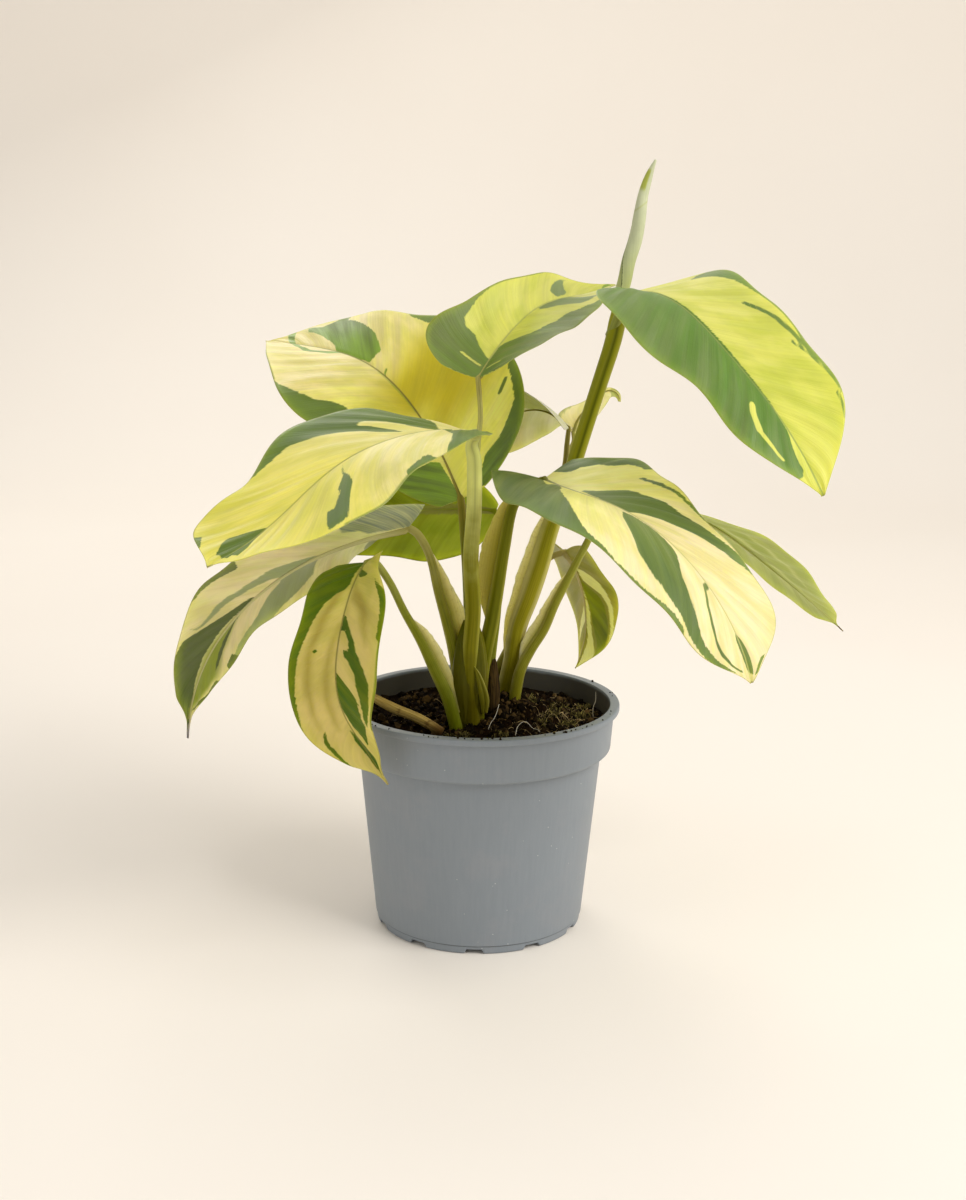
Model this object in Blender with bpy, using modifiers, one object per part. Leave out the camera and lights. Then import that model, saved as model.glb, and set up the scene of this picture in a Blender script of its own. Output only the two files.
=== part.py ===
"""A small variegated ctenanthe in a grey nursery pot, about 0.3 m tall.

Metres, +Z up. The origin is the centre of the pot's base, on the surface that it stands on,
and the plant's front is towards -Y. The tables below are in millimetres and degrees.
"""

import math

import bmesh
import bpy
import numpy as np

MM = 0.001
ASSEMBLY = "potted_ctenanthe"
GAP = 0.3  # between pieces that rest in each other

# Pot: a thin moulded pot with a rim band and a rounded lip
POT_HEIGHT = 86.0
LIP_RADIUS = 52.5
LIP_HEIGHT = 2.4
BAND_TOP_RADIUS = 50.4
BAND_FOOT_RADIUS = 49.4
BAND_HEIGHT = 17.5
EDGE_ROUND = 0.6
BODY_TOP_RADIUS = 46.0
FOOT_RADIUS = 39.4
FOOT_LINE_HEIGHT = 3.2
WALL = 1.4
FLOOR = 1.8
POT_STEPS = 48
NOTCH_COUNT = 11
NOTCH_WIDTH = 7.6
NOTCH_TOP_SHARE = 0.75
NOTCH_HEIGHT = 1.2
NOTCH_DEPTH = 5.0
FIRST_NOTCH_ANGLE = -92.0
DRAIN_COUNT = 6
DRAIN_RADIUS = 3.0
DRAIN_RING_RADIUS = 24.0

# Soil: fills the pot, with a mound round the second shoot
SOIL_LEVEL = 78.0
SOIL_STEPS = 36
SOIL_RINGS = 7
MOUND_CENTRE = (10.0, 10.0)
MOUND_HEIGHT = 5.5
MOUND_SPREAD = 9.0
CRUMB_HEIGHT = 0.9
DIP_CENTRE = (-19.0, -18.0)
DIP_DEPTH = 3.5
DIP_SPREAD = 5.0
HOLE_FLOOR = 62.0
STALK_FOOT = 64.0
HOLE_CLEARANCE = 0.35
HOLE_TOP = 100.0
HOLE_SIDES = 12

# Leaves
BLADE_THICKNESS = 0.8
SHEATH_THICKNESS = 0.9
LEAF_ROWS = 15
LEAF_COLUMNS = 4
TIP_HALF_WIDTH = 0.5
ROW_CROWDING = 1.4  # rows lie closer together near the leaf's base, which is round
VEIN_BOW = 1.7  # how strongly the side veins bend forwards on their way to the edge
SWEEP_SHARES = (0.35, 0.8, 1.0, 0.8, 0.0)
MIDRIB_END = 0.8  # the midrib stands out of the underside for this share of the blade
MIDRIB_TIP_RADIUS = 0.45
MIDRIB_STEPS = 240  # the midrib's course is added up in this many steps
MIDRIB_POINTS = 8
MIDRIB_SUNK = 0.3  # the midrib's upper edge lies this far above the blade's middle surface
STALK_SIDES_LEVEL = 2
ROUTE_STEP = 9.0  # spacing of the points along a stalk
SHEATH_ROWS = 9
SHEATH_COLUMNS = 3
SHEATH_CURL = 0.18  # how far a sheath's edge bends back, as a share of its width

# Shading: edges sharper than these angles stay crisp
PLANT_CREASE = 50
POT_CREASE = 35
SOIL_CREASE = 60

# Each blade: base is where it meets its stalk. heading, pitch and roll are the midrib's
# directions from base to tip: heading anticlockwise from +X, pitch up, roll about the midrib.
# left and right are the half-widths from base to tip, lobes how far each half reaches back
# behind the base, sweep how far the side veins run forwards. fold is the angle at which each
# half leaves the midrib, and curl how much it bends on from there. wave is the height of the
# edge's waves, and waves is their number.
BLADES = {
    "upper_right": dict(
        base=(49, -2, 237), length=122,
        heading=(-55, -56, -50, -48), pitch=(14, -28, -40, -57), roll=(-11, 14, 17),
        left=(16, 27, 25, 24, 21), right=(6, 24, 27, 19, 17), lobes=(0, -3), sweep=10,
        fold=(14, 5), curl=(10, -17), wave=0.6, waves=4,
    ),
    "upper_middle": dict(
        base=(-2, -2, 207), length=93,
        heading=(62, 51, 53, 34), pitch=(38, 31, 5, 14), roll=(-10, 24, 0),
        left=(14, 26, 20, 14, 10), right=(13, 23, 27, 23, 16), lobes=(0, 0), sweep=0,
        fold=(22, 15), curl=(23, 6), wave=0.5, waves=4,
    ),
    "upper_left": dict(
        base=(-8, 8, 161), length=140,
        heading=(121, 132, 135, 137), pitch=(51, 37, 7, 0), roll=(-42, -31, -9),
        left=(8, 24, 34, 39, 23), right=(11, 36, 42, 29, 22), lobes=(0, 0), sweep=11,
        fold=(9, 12), curl=(-3, 0), wave=0.7, waves=5,
    ),
    "middle_left": dict(
        base=(-2, -16, 188), length=131,
        heading=(238, 221, 234, 227), pitch=(17, -10, -28, -14), roll=(2, -9, 3),
        left=(5, 20, 27, 27, 13), right=(5, 20, 27, 20, 21), lobes=(0, 0), sweep=26,
        fold=(8, 10), curl=(-15, 1), wave=0.8, waves=5,
    ),
    "drooping_left": dict(
        base=(-27, -8, 153), length=135,
        heading=(201, 166, 152, 160), pitch=(-7, -32, -53, -86), roll=(6, 21, 10),
        left=(20, 25, 20, 18, 11), right=(21, 25, 25, 14, 12), lobes=(2, 2), sweep=8,
        fold=(27, -1), curl=(0, -14), wave=0.7, waves=5,
    ),
    "hanging_left": dict(
        base=(-41, -24, 143), length=99,
        heading=(255, 255, 230, 177), pitch=(-9, -53, -117, -120), roll=(32, 8, -54),
        left=(7, 10, 18, 18, 10), right=(13, 17, 15, 17, 17), lobes=(2, 3), sweep=1,
        fold=(10, 18), curl=(-11, 0), wave=0.6, waves=4,
    ),
    "right": dict(
        base=(22, -14, 172), length=128,
        heading=(-63, -59, -32, -21), pitch=(-3, -5, -43, -75), roll=(3, 1, 21),
        left=(15, 26, 21, 17, 17), right=(9, 27, 29, 29, 21), lobes=(4, 24), sweep=22,
        fold=(18, 8), curl=(4, -21), wave=0.7, waves=5,
    ),
    "right_behind": dict(
        base=(73, 24, 156), length=91,
        heading=(15, 18, 8, 11), pitch=(-17, -35, -39, -43), roll=(17, 4, -5),
        left=(11, 19, 21, 17, 14), right=(11, 20, 22, 20, 9), lobes=(4, 4), sweep=10,
        fold=(-5, 17), curl=(-24, 8), wave=0.5, waves=4,
    ),
    "small_hanging": dict(
        base=(32, 27, 138), length=56,
        heading=(54, 53, 47, 37), pitch=(-39, -61, -90, -126), roll=(13, 16, 24),
        left=(10, 15, 17, 14, 8), right=(12, 12, 16, 16, 12), lobes=(3, 7), sweep=5,
        fold=(10, 13), curl=(-4, 0), wave=0.4, waves=3,
    ),
    "centre_behind": dict(
        base=(5, 30, 153), length=83,
        heading=(180, 183, 182, 183), pitch=(6, -6, -20, -31), roll=(-57, -55, -45),
        left=(8, 20, 23, 17, 10), right=(3, 15, 22, 19, 11), lobes=(1, 1), sweep=7,
        fold=(9, 5), curl=(0, -15), wave=0.5, waves=4,
    ),
    "behind_stem": dict(
        base=(33, 34, 185), length=54,
        heading=(154, 151, 159, 162), pitch=(54, -7, -37, -24), roll=(7, 30, 33),
        left=(10, 19, 21, 17, 10), right=(10, 16, 19, 18, 12), lobes=(1, 1), sweep=11,
        fold=(6, 0), curl=(-1, -18), wave=0.3, waves=3,
    ),
    "hooked_behind_stem": dict(
        base=(35, 38, 183), length=29,
        heading=(5, 5, 5, 5), pitch=(84, 46, 34, -100), roll=(-60, -75, -80),
        left=(1, 4, 6, 5, 3), right=(2, 9, 4, 2, 1), lobes=(0, 0), sweep=2,
        fold=(0, 0), curl=(0, 0), wave=0.2, waves=2,
    ),
}

# Each stalk: route points from the soil up, radii at even steps along it, and the blade that
# it carries. A rooted stalk starts upright in its hole. A sheath is a thin wing on the stalk
# from one share of its route to another, with its widths and the side it grows to.
STALKS = {
    "tall": dict(
        route=((9, 14, 84), (12, 14, 98), (14, 14, 111), (18, 13, 123), (22, 13, 136),
               (26, 12, 151), (31, 11, 164), (35, 10, 178), (39, 9, 192), (43, 7, 206),
               (47, 6, 220), (49, 4, 232), (51, 3, 241), (52, 3, 249), (54, 3, 257),
               (55, 2, 265), (56, 2, 272), (58, 2, 279), (60, 1, 284)),
        radii=(3.2, 3.4, 3.7, 3.9, 3.5, 3.0, 2.9, 2.9, 3.0, 3.2, 3.3, 2.7, 2.7, 2.3, 1.8, 0.4),
        rooted=True, sheath=dict(start=0.03, end=0.31, width=(2, 4.5, 6, 7, 6, 3), side=(-1, 0, 0)),
    ),
    "tall_to_blade": dict(
        route=((46, 6, 222), (49, 1, 231), (49, -2, 237)), radii=(2.0, 1.8, 1.4),
        blade="upper_right",
    ),
    "behind_stem": dict(
        route=((28, 13, 163), (31, 18, 172), (32, 25, 180), (33, 34, 185)),
        radii=(1.4, 1.2, 1.0, 0.9), blade="behind_stem",
    ),
    "hooked": dict(
        route=((31, 18, 172), (33, 26, 177), (35, 33, 180), (35, 38, 183)),
        radii=(1.1, 1.0, 0.9, 0.9), blade="hooked_behind_stem",
    ),
    "main": dict(
        route=((-3, -10, 82), (-4, -10, 104), (-3, -10, 123), (-4, -10, 142), (-3, -10, 160),
               (-3, -11, 177), (-4, -13, 184), (-2, -16, 188)),
        radii=(2.9, 2.9, 2.9, 2.9, 2.8, 2.7, 2.2, 1.5), rooted=True, blade="middle_left",
    ),
    "main_to_upper": dict(
        route=((-3, -10, 168), (-2, -9, 182), (-1, -5, 194), (-2, -2, 207)),
        radii=(1.4, 1.1, 0.9, 1.0), blade="upper_middle",
    ),
    "upper_left": dict(
        route=((-5, 2, 80), (-4, 3, 100), (-5, 4, 120), (-6, 6, 136), (-7, 7, 150), (-8, 8, 161)),
        radii=(2.0, 1.9, 1.7, 1.5, 1.5, 1.4), rooted=True, blade="upper_left",
    ),
    "drooping_left": dict(
        route=((-8, -5, 80), (-8, -5, 93), (-10, -5, 106), (-13, -5, 118), (-16, -6, 129),
               (-19, -7, 142), (-23, -8, 150), (-27, -8, 153)),
        radii=(2.4, 2.4, 2.3, 2.0, 1.7, 1.5, 1.5, 1.4), rooted=True, blade="drooping_left",
        sheath=dict(start=0.18, end=0.74, width=(1, 6, 7.5, 7.5, 5, 1), side=(1, 0.25, 0)),
    ),
    "hanging_left": dict(
        route=((-9, -13, 79), (-12, -13, 90), (-17, -13, 101), (-22, -14, 112), (-28, -15, 123),
               (-33, -17, 134), (-38, -20, 142), (-41, -24, 143)),
        radii=(2.4, 2.4, 2.2, 1.8, 1.5, 1.4, 1.4, 1.2), rooted=True, blade="hanging_left",
        sheath=dict(start=0.16, end=0.55, width=(1, 4.5, 5.5, 4.5, 1), side=(1, 0.2, 0)),
    ),
    "right": dict(
        route=((-1, -3, 82), (1, -3, 102), (4, -4, 118), (6, -5, 131), (8, -7, 145),
               (11, -9, 161), (16, -12, 168), (22, -14, 172)),
        radii=(2.6, 2.8, 2.7, 2.5, 2.3, 2.0, 1.8, 1.5), rooted=True, blade="right",
        sheath=dict(start=0.25, end=0.8, width=(1, 5.5, 7.5, 7.5, 5, 1.2), side=(-1, 0.2, 0)),
    ),
    "right_behind": dict(
        route=((13, 8, 84), (15, 8, 95), (19, 9, 103), (24, 10, 111), (28, 10, 121),
               (33, 11, 131), (38, 12, 141), (45, 15, 152), (58, 20, 158), (73, 24, 156)),
        radii=(2.3, 2.2, 1.9, 1.8, 1.7, 1.6, 1.4, 1.3, 1.2, 1.2), rooted=True,
        blade="right_behind",
        sheath=dict(start=0.13, end=0.6, width=(1, 4.5, 5, 4, 3, 1), side=(-1, 0, 0)),
    ),
    "small_hanging": dict(
        route=((2, 16, 84), (7, 18, 94), (14, 22, 108), (19, 26, 121), (25, 27, 134),
               (32, 27, 138)),
        radii=(1.8, 1.7, 1.5, 1.3, 1.2, 1.2), rooted=True, blade="small_hanging",
    ),
    "centre_behind": dict(
        route=((3, 6, 84), (4, 10, 100), (6, 15, 117), (7, 22, 135), (7, 27, 146), (5, 30, 153)),
        radii=(1.8, 1.8, 1.6, 1.4, 1.3, 1.2), rooted=True, blade="centre_behind",
    ),
    "dried": dict(
        route=((-14, -20, 79), (-23, -16, 83), (-33, -12, 86), (-43, -7, 90)),
        radii=(1.6, 1.9, 1.8, 1.3), rooted=True,
    ),
    "dry_sheath": dict(
        route=((5, 0, 80), (5, 0, 92), (5, 0, 103)), radii=(0.9, 0.9, 0.5), rooted=True,
        sheath=dict(start=0.35, end=1.0, width=(1, 2.4, 2.6, 2, 0.6), side=(0.7, -0.7, 0)),
    ),
}

# Which stalks grew as one piece, with the piece's colour and roughness
PLANT_PIECES = {
    "tall_leafy_stem": (("tall", "tall_to_blade", "behind_stem", "hooked"), (0.37, 0.44, 0.08), 0.5),
    "upper_leafy_stem": (("main", "main_to_upper"), (0.71, 0.68, 0.18), 0.5),
    "leaf_upper_left": (("upper_left",), (0.82, 0.73, 0.32), 0.5),
    "leaf_drooping_left": (("drooping_left",), (0.33, 0.36, 0.22), 0.6),
    "leaf_hanging_left": (("hanging_left",), (0.74, 0.66, 0.30), 0.5),
    "leaf_right": (("right",), (0.80, 0.74, 0.42), 0.5),
    "leaf_right_behind": (("right_behind",), (0.40, 0.46, 0.12), 0.6),
    "leaf_small_hanging": (("small_hanging",), (0.36, 0.38, 0.14), 0.6),
    "leaf_centre_behind": (("centre_behind",), (0.19, 0.27, 0.03), 0.5),
    "dried_stalk": (("dried",), (0.52, 0.33, 0.10), 0.7),
    "dry_sheath": (("dry_sheath",), (0.10, 0.06, 0.03), 0.8),
}


def clear_scene():
    for obj in list(bpy.data.objects):
        bpy.data.objects.remove(obj, do_unlink=True)


def new_collection(name):
    collection = bpy.data.collections.new(name)
    bpy.context.scene.collection.children.link(collection)
    return collection


def material_of(name, colour, roughness):
    material = bpy.data.materials.new(name)
    material.use_nodes = True
    shader = material.node_tree.nodes["Principled BSDF"]
    shader.inputs["Base Color"].default_value = (*colour, 1.0)
    shader.inputs["Roughness"].default_value = roughness
    shader.inputs["Metallic"].default_value = 0.0
    return material


def add_object(name, data, collection):
    obj = bpy.data.objects.new(name, data)
    collection.objects.link(obj)
    return obj


def finished_mesh(obj):
    """The object's mesh with its modifiers applied, and the points that caps left double welded."""
    bpy.context.view_layer.update()
    graph = bpy.context.evaluated_depsgraph_get()
    mesh = bpy.data.meshes.new_from_object(obj.evaluated_get(graph))
    work = bmesh.new()
    work.from_mesh(mesh)
    bmesh.ops.remove_doubles(work, verts=work.verts, dist=1e-6)
    work.to_mesh(mesh)
    work.free()
    return mesh


def shade_round(mesh, angle):
    mesh.shade_smooth()
    mesh.set_sharp_from_angle(angle=math.radians(angle))


def smooth(values, place):
    """A smooth curve through evenly spaced values, read at places from 0 to 1 (Catmull-Rom)."""
    values = np.asarray(values, float)
    spans = len(values) - 1
    place = np.clip(np.asarray(place, float), 0, 1) * spans
    span = np.minimum(place.astype(int), spans - 1)
    share = place - span
    ends = np.concatenate(([2 * values[0] - values[1]], values, [2 * values[-1] - values[-2]]))
    a, b, c, d = (ends[span + step] for step in range(4))
    bend = 2 * a - 5 * b + 4 * c - d + share * (3 * (b - c) + d - a)
    return b + 0.5 * share * (c - a + share * bend)


def directions(blade, place):
    """Unit vectors along the midrib, to the blade's left and out of its upper face."""
    heading = np.radians(smooth(blade["heading"], place))
    pitch = np.radians(smooth(blade["pitch"], place))
    roll = np.radians(smooth(blade["roll"], place))[..., None]
    level = np.cos(pitch)
    along = np.stack([level * np.cos(heading), level * np.sin(heading), np.sin(pitch)], -1)
    flat_left = np.stack([-np.sin(heading), np.cos(heading), 0 * heading], -1)
    flat_up = np.cross(along, flat_left)
    left = flat_left * np.cos(roll) + flat_up * np.sin(roll)
    up = flat_up * np.cos(roll) - flat_left * np.sin(roll)
    return along, left, up


def midrib_frame(blade, distance):
    """Points on the midrib at these distances from the base, straight on beyond its ends."""
    steps = np.linspace(0, 1, MIDRIB_STEPS + 1)
    along = directions(blade, steps)[0]
    travelled = np.cumsum((along[1:] + along[:-1]) / 2, axis=0) * blade["length"] / MIDRIB_STEPS
    line = np.concatenate([np.zeros((1, 3)), travelled]) + np.array(blade["base"])
    place = distance / blade["length"]
    held = np.clip(place, 0, 1)
    along, left, up = directions(blade, held)
    centre = np.stack([np.interp(held, steps, line[:, axis]) for axis in range(3)], -1)
    return centre + along * ((place - held) * blade["length"])[..., None], left, up


def half_blade(blade, side, row, across):
    """One half of the blade's middle surface. side is 1 for left and -1 for right, row runs
    from base to tip and across from the midrib to the edge, both from 0 to 1. Each row leaves
    the midrib, bows forwards by the sweep, and is bent by the fold and the curl, so the blade
    keeps its flat width. Waves raise and lower the edge."""
    which = 0 if side > 0 else 1
    widths = blade["left"] if side > 0 else blade["right"]
    width = smooth(tuple(widths) + (TIP_HALF_WIDTH,), row)
    bows = (-blade["lobes"][which],) + tuple(blade["sweep"] * share for share in SWEEP_SHARES)
    forwards = smooth(bows, row) * (1 - (1 - across) ** VEIN_BOW)
    centre, left, up = midrib_frame(blade, blade["length"] * row ** ROW_CROWDING + forwards)
    start = math.radians(blade["fold"][which])
    curl = math.radians(blade["curl"][which] or 0.01)
    out = (np.sin(start + curl * across) - math.sin(start)) / curl
    rise = (math.cos(start) - np.cos(start + curl * across)) / curl
    wave = blade["wave"] * across**2 * np.sin(2 * math.pi * blade["waves"] * row + side)
    wave = wave * np.sin(math.pi * row)
    return centre + side * left * (width * out)[..., None] + up * (width * rise + wave)[..., None]


def sheet_object(name, points, thickness, collection):
    """A grid of points in millimetres as a closed sheet, split alike on both faces."""
    rows, columns = points.shape[:2]
    mesh = bpy.data.meshes.new(name)
    work = bmesh.new()
    bmesh.ops.create_grid(work, x_segments=columns - 1, y_segments=rows - 1, size=1.0)
    for vertex, point in zip(work.verts, points.reshape(-1, 3) * MM, strict=True):
        vertex.co = point
    work.to_mesh(mesh)
    work.free()
    obj = add_object(name, mesh, collection)
    obj.modifiers.new("split", "TRIANGULATE")
    solid = obj.modifiers.new("thickness", "SOLIDIFY")
    solid.thickness = thickness * MM
    solid.offset = 0
    return obj


def blade_object(name, blade, collection):
    row, across = np.meshgrid(
        np.linspace(0, 1, LEAF_ROWS), np.linspace(0, 1, LEAF_COLUMNS + 1), indexing="ij"
    )
    left = half_blade(blade, 1, row, across)
    right = half_blade(blade, -1, row, across)
    points = np.concatenate([left[:, ::-1], right[:, 1:]], 1)
    return sheet_object(name, points, BLADE_THICKNESS, collection)


def stalk_route(stalk):
    """The stalk's points and radii: its upright foot, its route, and the blade's midrib."""
    route = [np.array(point, float) for point in stalk["route"]]
    places = np.linspace(0, 1, 2 + int(route_length(route) / ROUTE_STEP))
    points = np.stack([smooth([p[axis] for p in route], places) for axis in range(3)], -1)
    radii = smooth(stalk["radii"], places)
    if stalk.get("rooted"):
        foot = np.array([(route[0][0], route[0][1], STALK_FOOT)])
        points = np.concatenate([foot, points])
        radii = np.concatenate([radii[:1], radii])
    if "blade" in stalk:
        blade = BLADES[stalk["blade"]]
        reach = np.linspace(0, MIDRIB_END, MIDRIB_POINTS)[1:]
        thickness = np.interp(reach, (0, MIDRIB_END), (radii[-1], MIDRIB_TIP_RADIUS))
        centre, _, up = midrib_frame(blade, reach * blade["length"])
        points = np.concatenate([points, centre - up * (thickness - MIDRIB_SUNK)[:, None]])
        radii = np.concatenate([radii, thickness])
    return points, radii


def route_length(route):
    return sum(np.linalg.norm(after - before) for before, after in zip(route, route[1:]))


def stalk_object(name, stalk, collection):
    points, radii = stalk_route(stalk)
    curve = bpy.data.curves.new(name, "CURVE")
    curve.dimensions = "3D"
    curve.bevel_depth = MM
    curve.bevel_resolution = STALK_SIDES_LEVEL
    curve.use_fill_caps = True
    spline = curve.splines.new("POLY")
    spline.points.add(len(points) - 1)
    for place, point, radius in zip(spline.points, points * MM, radii):
        place.co = (*point, 1.0)
        place.radius = radius
    tube = add_object(name + "_curve", curve, collection)
    mesh = finished_mesh(tube)
    matrix = tube.matrix_world.copy()
    bpy.data.objects.remove(tube, do_unlink=True)
    obj = add_object(name, mesh, collection)
    obj.matrix_world = matrix
    return obj


def sheath_object(name, stalk, collection):
    """A thin wing that starts on the stalk's axis, reaches out to one side and curls back."""
    sheath = stalk["sheath"]
    route = np.array(stalk["route"], float)
    rows = np.linspace(0, 1, SHEATH_ROWS)
    places = sheath["start"] + (sheath["end"] - sheath["start"]) * rows
    axis = np.stack([smooth(route[:, i], places) for i in range(3)], -1)
    tangent = np.gradient(axis, axis=0)
    tangent /= np.linalg.norm(tangent, axis=1, keepdims=True)
    side = np.array(sheath["side"], float)
    side = side - tangent * (tangent @ side)[:, None]
    side /= np.linalg.norm(side, axis=1, keepdims=True)
    back = np.cross(tangent, side)
    back *= np.sign(back[:, 1:2])
    across = np.linspace(0, 1, SHEATH_COLUMNS + 1)
    width = smooth(sheath["width"], rows)
    reach = side[:, None] * (width[:, None] * across)[..., None]
    curl = back[:, None] * (SHEATH_CURL * width[:, None] * across**2)[..., None]
    return sheet_object(name, axis[:, None] + reach + curl, SHEATH_THICKNESS, collection)


def plant_piece(name, stalk_names, colour, roughness, parts):
    """The stalks, blades and sheaths that grew as one piece, joined into one body."""
    joined = new_collection(name + "_joined")
    bodies = []
    for stalk_name in stalk_names:
        stalk = STALKS[stalk_name]
        bodies.append(stalk_object(f"{stalk_name}_stalk", stalk, joined))
        if "blade" in stalk:
            bodies.append(blade_object(f"{stalk_name}_blade", BLADES[stalk["blade"]], joined))
        if "sheath" in stalk:
            bodies.append(sheath_object(f"{stalk_name}_sheath", stalk, joined))
    first = bodies[0]
    if len(bodies) > 1:
        joined.objects.unlink(first)
        bpy.context.scene.collection.objects.link(first)
        union = first.modifiers.new("join", "BOOLEAN")
        union.operation = "UNION"
        union.operand_type = "COLLECTION"
        union.collection = joined
        union.solver = "EXACT"
    mesh = finished_mesh(first)
    mesh.name = name
    for body in bodies:
        bpy.data.objects.remove(body, do_unlink=True)
    bpy.data.collections.remove(joined)
    mesh.materials.clear()
    mesh.materials.append(material_of(name, colour, roughness))
    shade_round(mesh, PLANT_CREASE)
    return add_object(name, mesh, parts)


def inner_radius(height):
    """The pot's inside radius at a height, below the band and in it."""
    shoulder = POT_HEIGHT - BAND_HEIGHT + WALL
    if height <= shoulder:
        share = (height - FLOOR) / (shoulder - FLOOR)
        return FOOT_RADIUS - WALL + share * (BODY_TOP_RADIUS - FOOT_RADIUS)
    share = (height - shoulder) / (POT_HEIGHT - shoulder)
    return BAND_FOOT_RADIUS - WALL + share * (BAND_TOP_RADIUS - BAND_FOOT_RADIUS)


def turned_object(name, profile, steps, collection):
    mesh = bpy.data.meshes.new(name)
    points = [(radius * MM, 0, height * MM) for radius, height in profile]
    mesh.from_pydata(points, [(i, i + 1) for i in range(len(points) - 1)], [])
    obj = add_object(name, mesh, collection)
    screw = obj.modifiers.new("turn", "SCREW")
    screw.steps = steps
    screw.render_steps = steps
    screw.use_merge_vertices = True
    screw.merge_threshold = 0.00001
    return obj


def pot_profile():
    """Down the outside from the lip to the base, then up the inside, for a Screw at +X."""
    band_foot = POT_HEIGHT - BAND_HEIGHT
    shoulder = band_foot + WALL
    foot_share = FOOT_LINE_HEIGHT / band_foot
    line_radius = FOOT_RADIUS + foot_share * (BODY_TOP_RADIUS - FOOT_RADIUS)
    outside = [
        (BAND_TOP_RADIUS + 0.2, POT_HEIGHT),
        (LIP_RADIUS - 0.5, POT_HEIGHT),
        (LIP_RADIUS, POT_HEIGHT - EDGE_ROUND),
        (LIP_RADIUS, POT_HEIGHT - LIP_HEIGHT + EDGE_ROUND),
        (BAND_TOP_RADIUS + 0.5, POT_HEIGHT - LIP_HEIGHT),
        (BAND_FOOT_RADIUS, band_foot + 2.2),
        (BAND_FOOT_RADIUS - 0.9, band_foot + EDGE_ROUND),
        (BODY_TOP_RADIUS + EDGE_ROUND, band_foot),
        (BODY_TOP_RADIUS, band_foot - EDGE_ROUND),
        (line_radius, FOOT_LINE_HEIGHT),
        (line_radius - 0.5, FOOT_LINE_HEIGHT - 0.5),
        (FOOT_RADIUS - 0.4, 1.2),
        (FOOT_RADIUS - 1.4, 0),
        (0, 0),
    ]
    inside = [
        (0, FLOOR),
        (inner_radius(FLOOR) - 1.5, FLOOR),
        (inner_radius(FLOOR + 1.5), FLOOR + 1.5),
        (inner_radius(shoulder - 1), shoulder - 1),
        (inner_radius(shoulder + 1), shoulder + 1),
        (BAND_TOP_RADIUS - WALL, POT_HEIGHT - 0.5),
        (BAND_TOP_RADIUS + 0.2, POT_HEIGHT),
    ]
    return outside + inside


def cut(obj, cutters):
    modifier = obj.modifiers.new("cut", "BOOLEAN")
    modifier.operation = "DIFFERENCE"
    modifier.operand_type = "COLLECTION"
    modifier.collection = cutters
    modifier.solver = "EXACT"


def cylinder_cutter(name, centre, radius, bottom, top, cutters):
    mesh = bpy.data.meshes.new(name)
    work = bmesh.new()
    bmesh.ops.create_cone(
        work, cap_ends=True, segments=HOLE_SIDES, radius1=radius * MM, radius2=radius * MM,
        depth=(top - bottom) * MM,
    )
    work.to_mesh(mesh)
    work.free()
    obj = add_object(name, mesh, cutters)
    obj.location = (centre[0] * MM, centre[1] * MM, (top + bottom) / 2 * MM)
    obj.hide_render = True
    obj.display_type = "WIRE"


def notch_cutter(name, angle, cutters):
    mesh = bpy.data.meshes.new(name)
    work = bmesh.new()
    bmesh.ops.create_cube(work, size=1.0)
    upper = [vertex for vertex in work.verts if vertex.co.z > 0]
    bmesh.ops.scale(work, verts=upper, vec=(1, NOTCH_TOP_SHARE, 1))
    size = (2 * NOTCH_DEPTH * MM, NOTCH_WIDTH * MM, 2 * NOTCH_HEIGHT * MM)
    bmesh.ops.scale(work, verts=work.verts, vec=size)
    work.to_mesh(mesh)
    work.free()
    obj = add_object(name, mesh, cutters)
    obj.location = (FOOT_RADIUS * math.cos(angle) * MM, FOOT_RADIUS * math.sin(angle) * MM, 0)
    obj.rotation_euler = (0, 0, angle)
    obj.hide_render = True
    obj.display_type = "WIRE"


def make_pot(parts):
    cutters = new_collection("pot_cutters")
    pot = turned_object("pot", pot_profile(), POT_STEPS, parts)
    for number in range(NOTCH_COUNT):
        angle = math.radians(FIRST_NOTCH_ANGLE + number * 360 / NOTCH_COUNT)
        notch_cutter(f"notch_{number}", angle, cutters)
    for number in range(DRAIN_COUNT):
        angle = 2 * math.pi * number / DRAIN_COUNT
        centre = (DRAIN_RING_RADIUS * math.cos(angle), DRAIN_RING_RADIUS * math.sin(angle))
        cylinder_cutter(f"drain_{number}", centre, DRAIN_RADIUS, -FLOOR, 2 * FLOOR, cutters)
    cut(pot, cutters)
    pot.data.materials.append(material_of("pot", (0.16, 0.20, 0.24), 0.55))
    shade_round(pot.data, POT_CREASE)


def soil_rise(x, y):
    """How far the soil stands over its level: a mound, a dip and crumbs that fade at the wall."""
    mound = MOUND_HEIGHT * np.exp(
        -((x - MOUND_CENTRE[0]) ** 2 + (y - MOUND_CENTRE[1]) ** 2) / (2 * MOUND_SPREAD**2)
    )
    dip = DIP_DEPTH * np.exp(
        -((x - DIP_CENTRE[0]) ** 2 + (y - DIP_CENTRE[1]) ** 2) / (2 * DIP_SPREAD**2)
    )
    crumbs = np.sin(0.42 * x + 1.3) * np.sin(0.37 * y + 0.4) + 0.6 * np.sin(0.9 * x - 0.7 * y)
    fade = np.clip((inner_radius(SOIL_LEVEL) - np.hypot(x, y)) / 12, 0, 1)
    return mound - dip + CRUMB_HEIGHT * crumbs * fade


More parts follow.
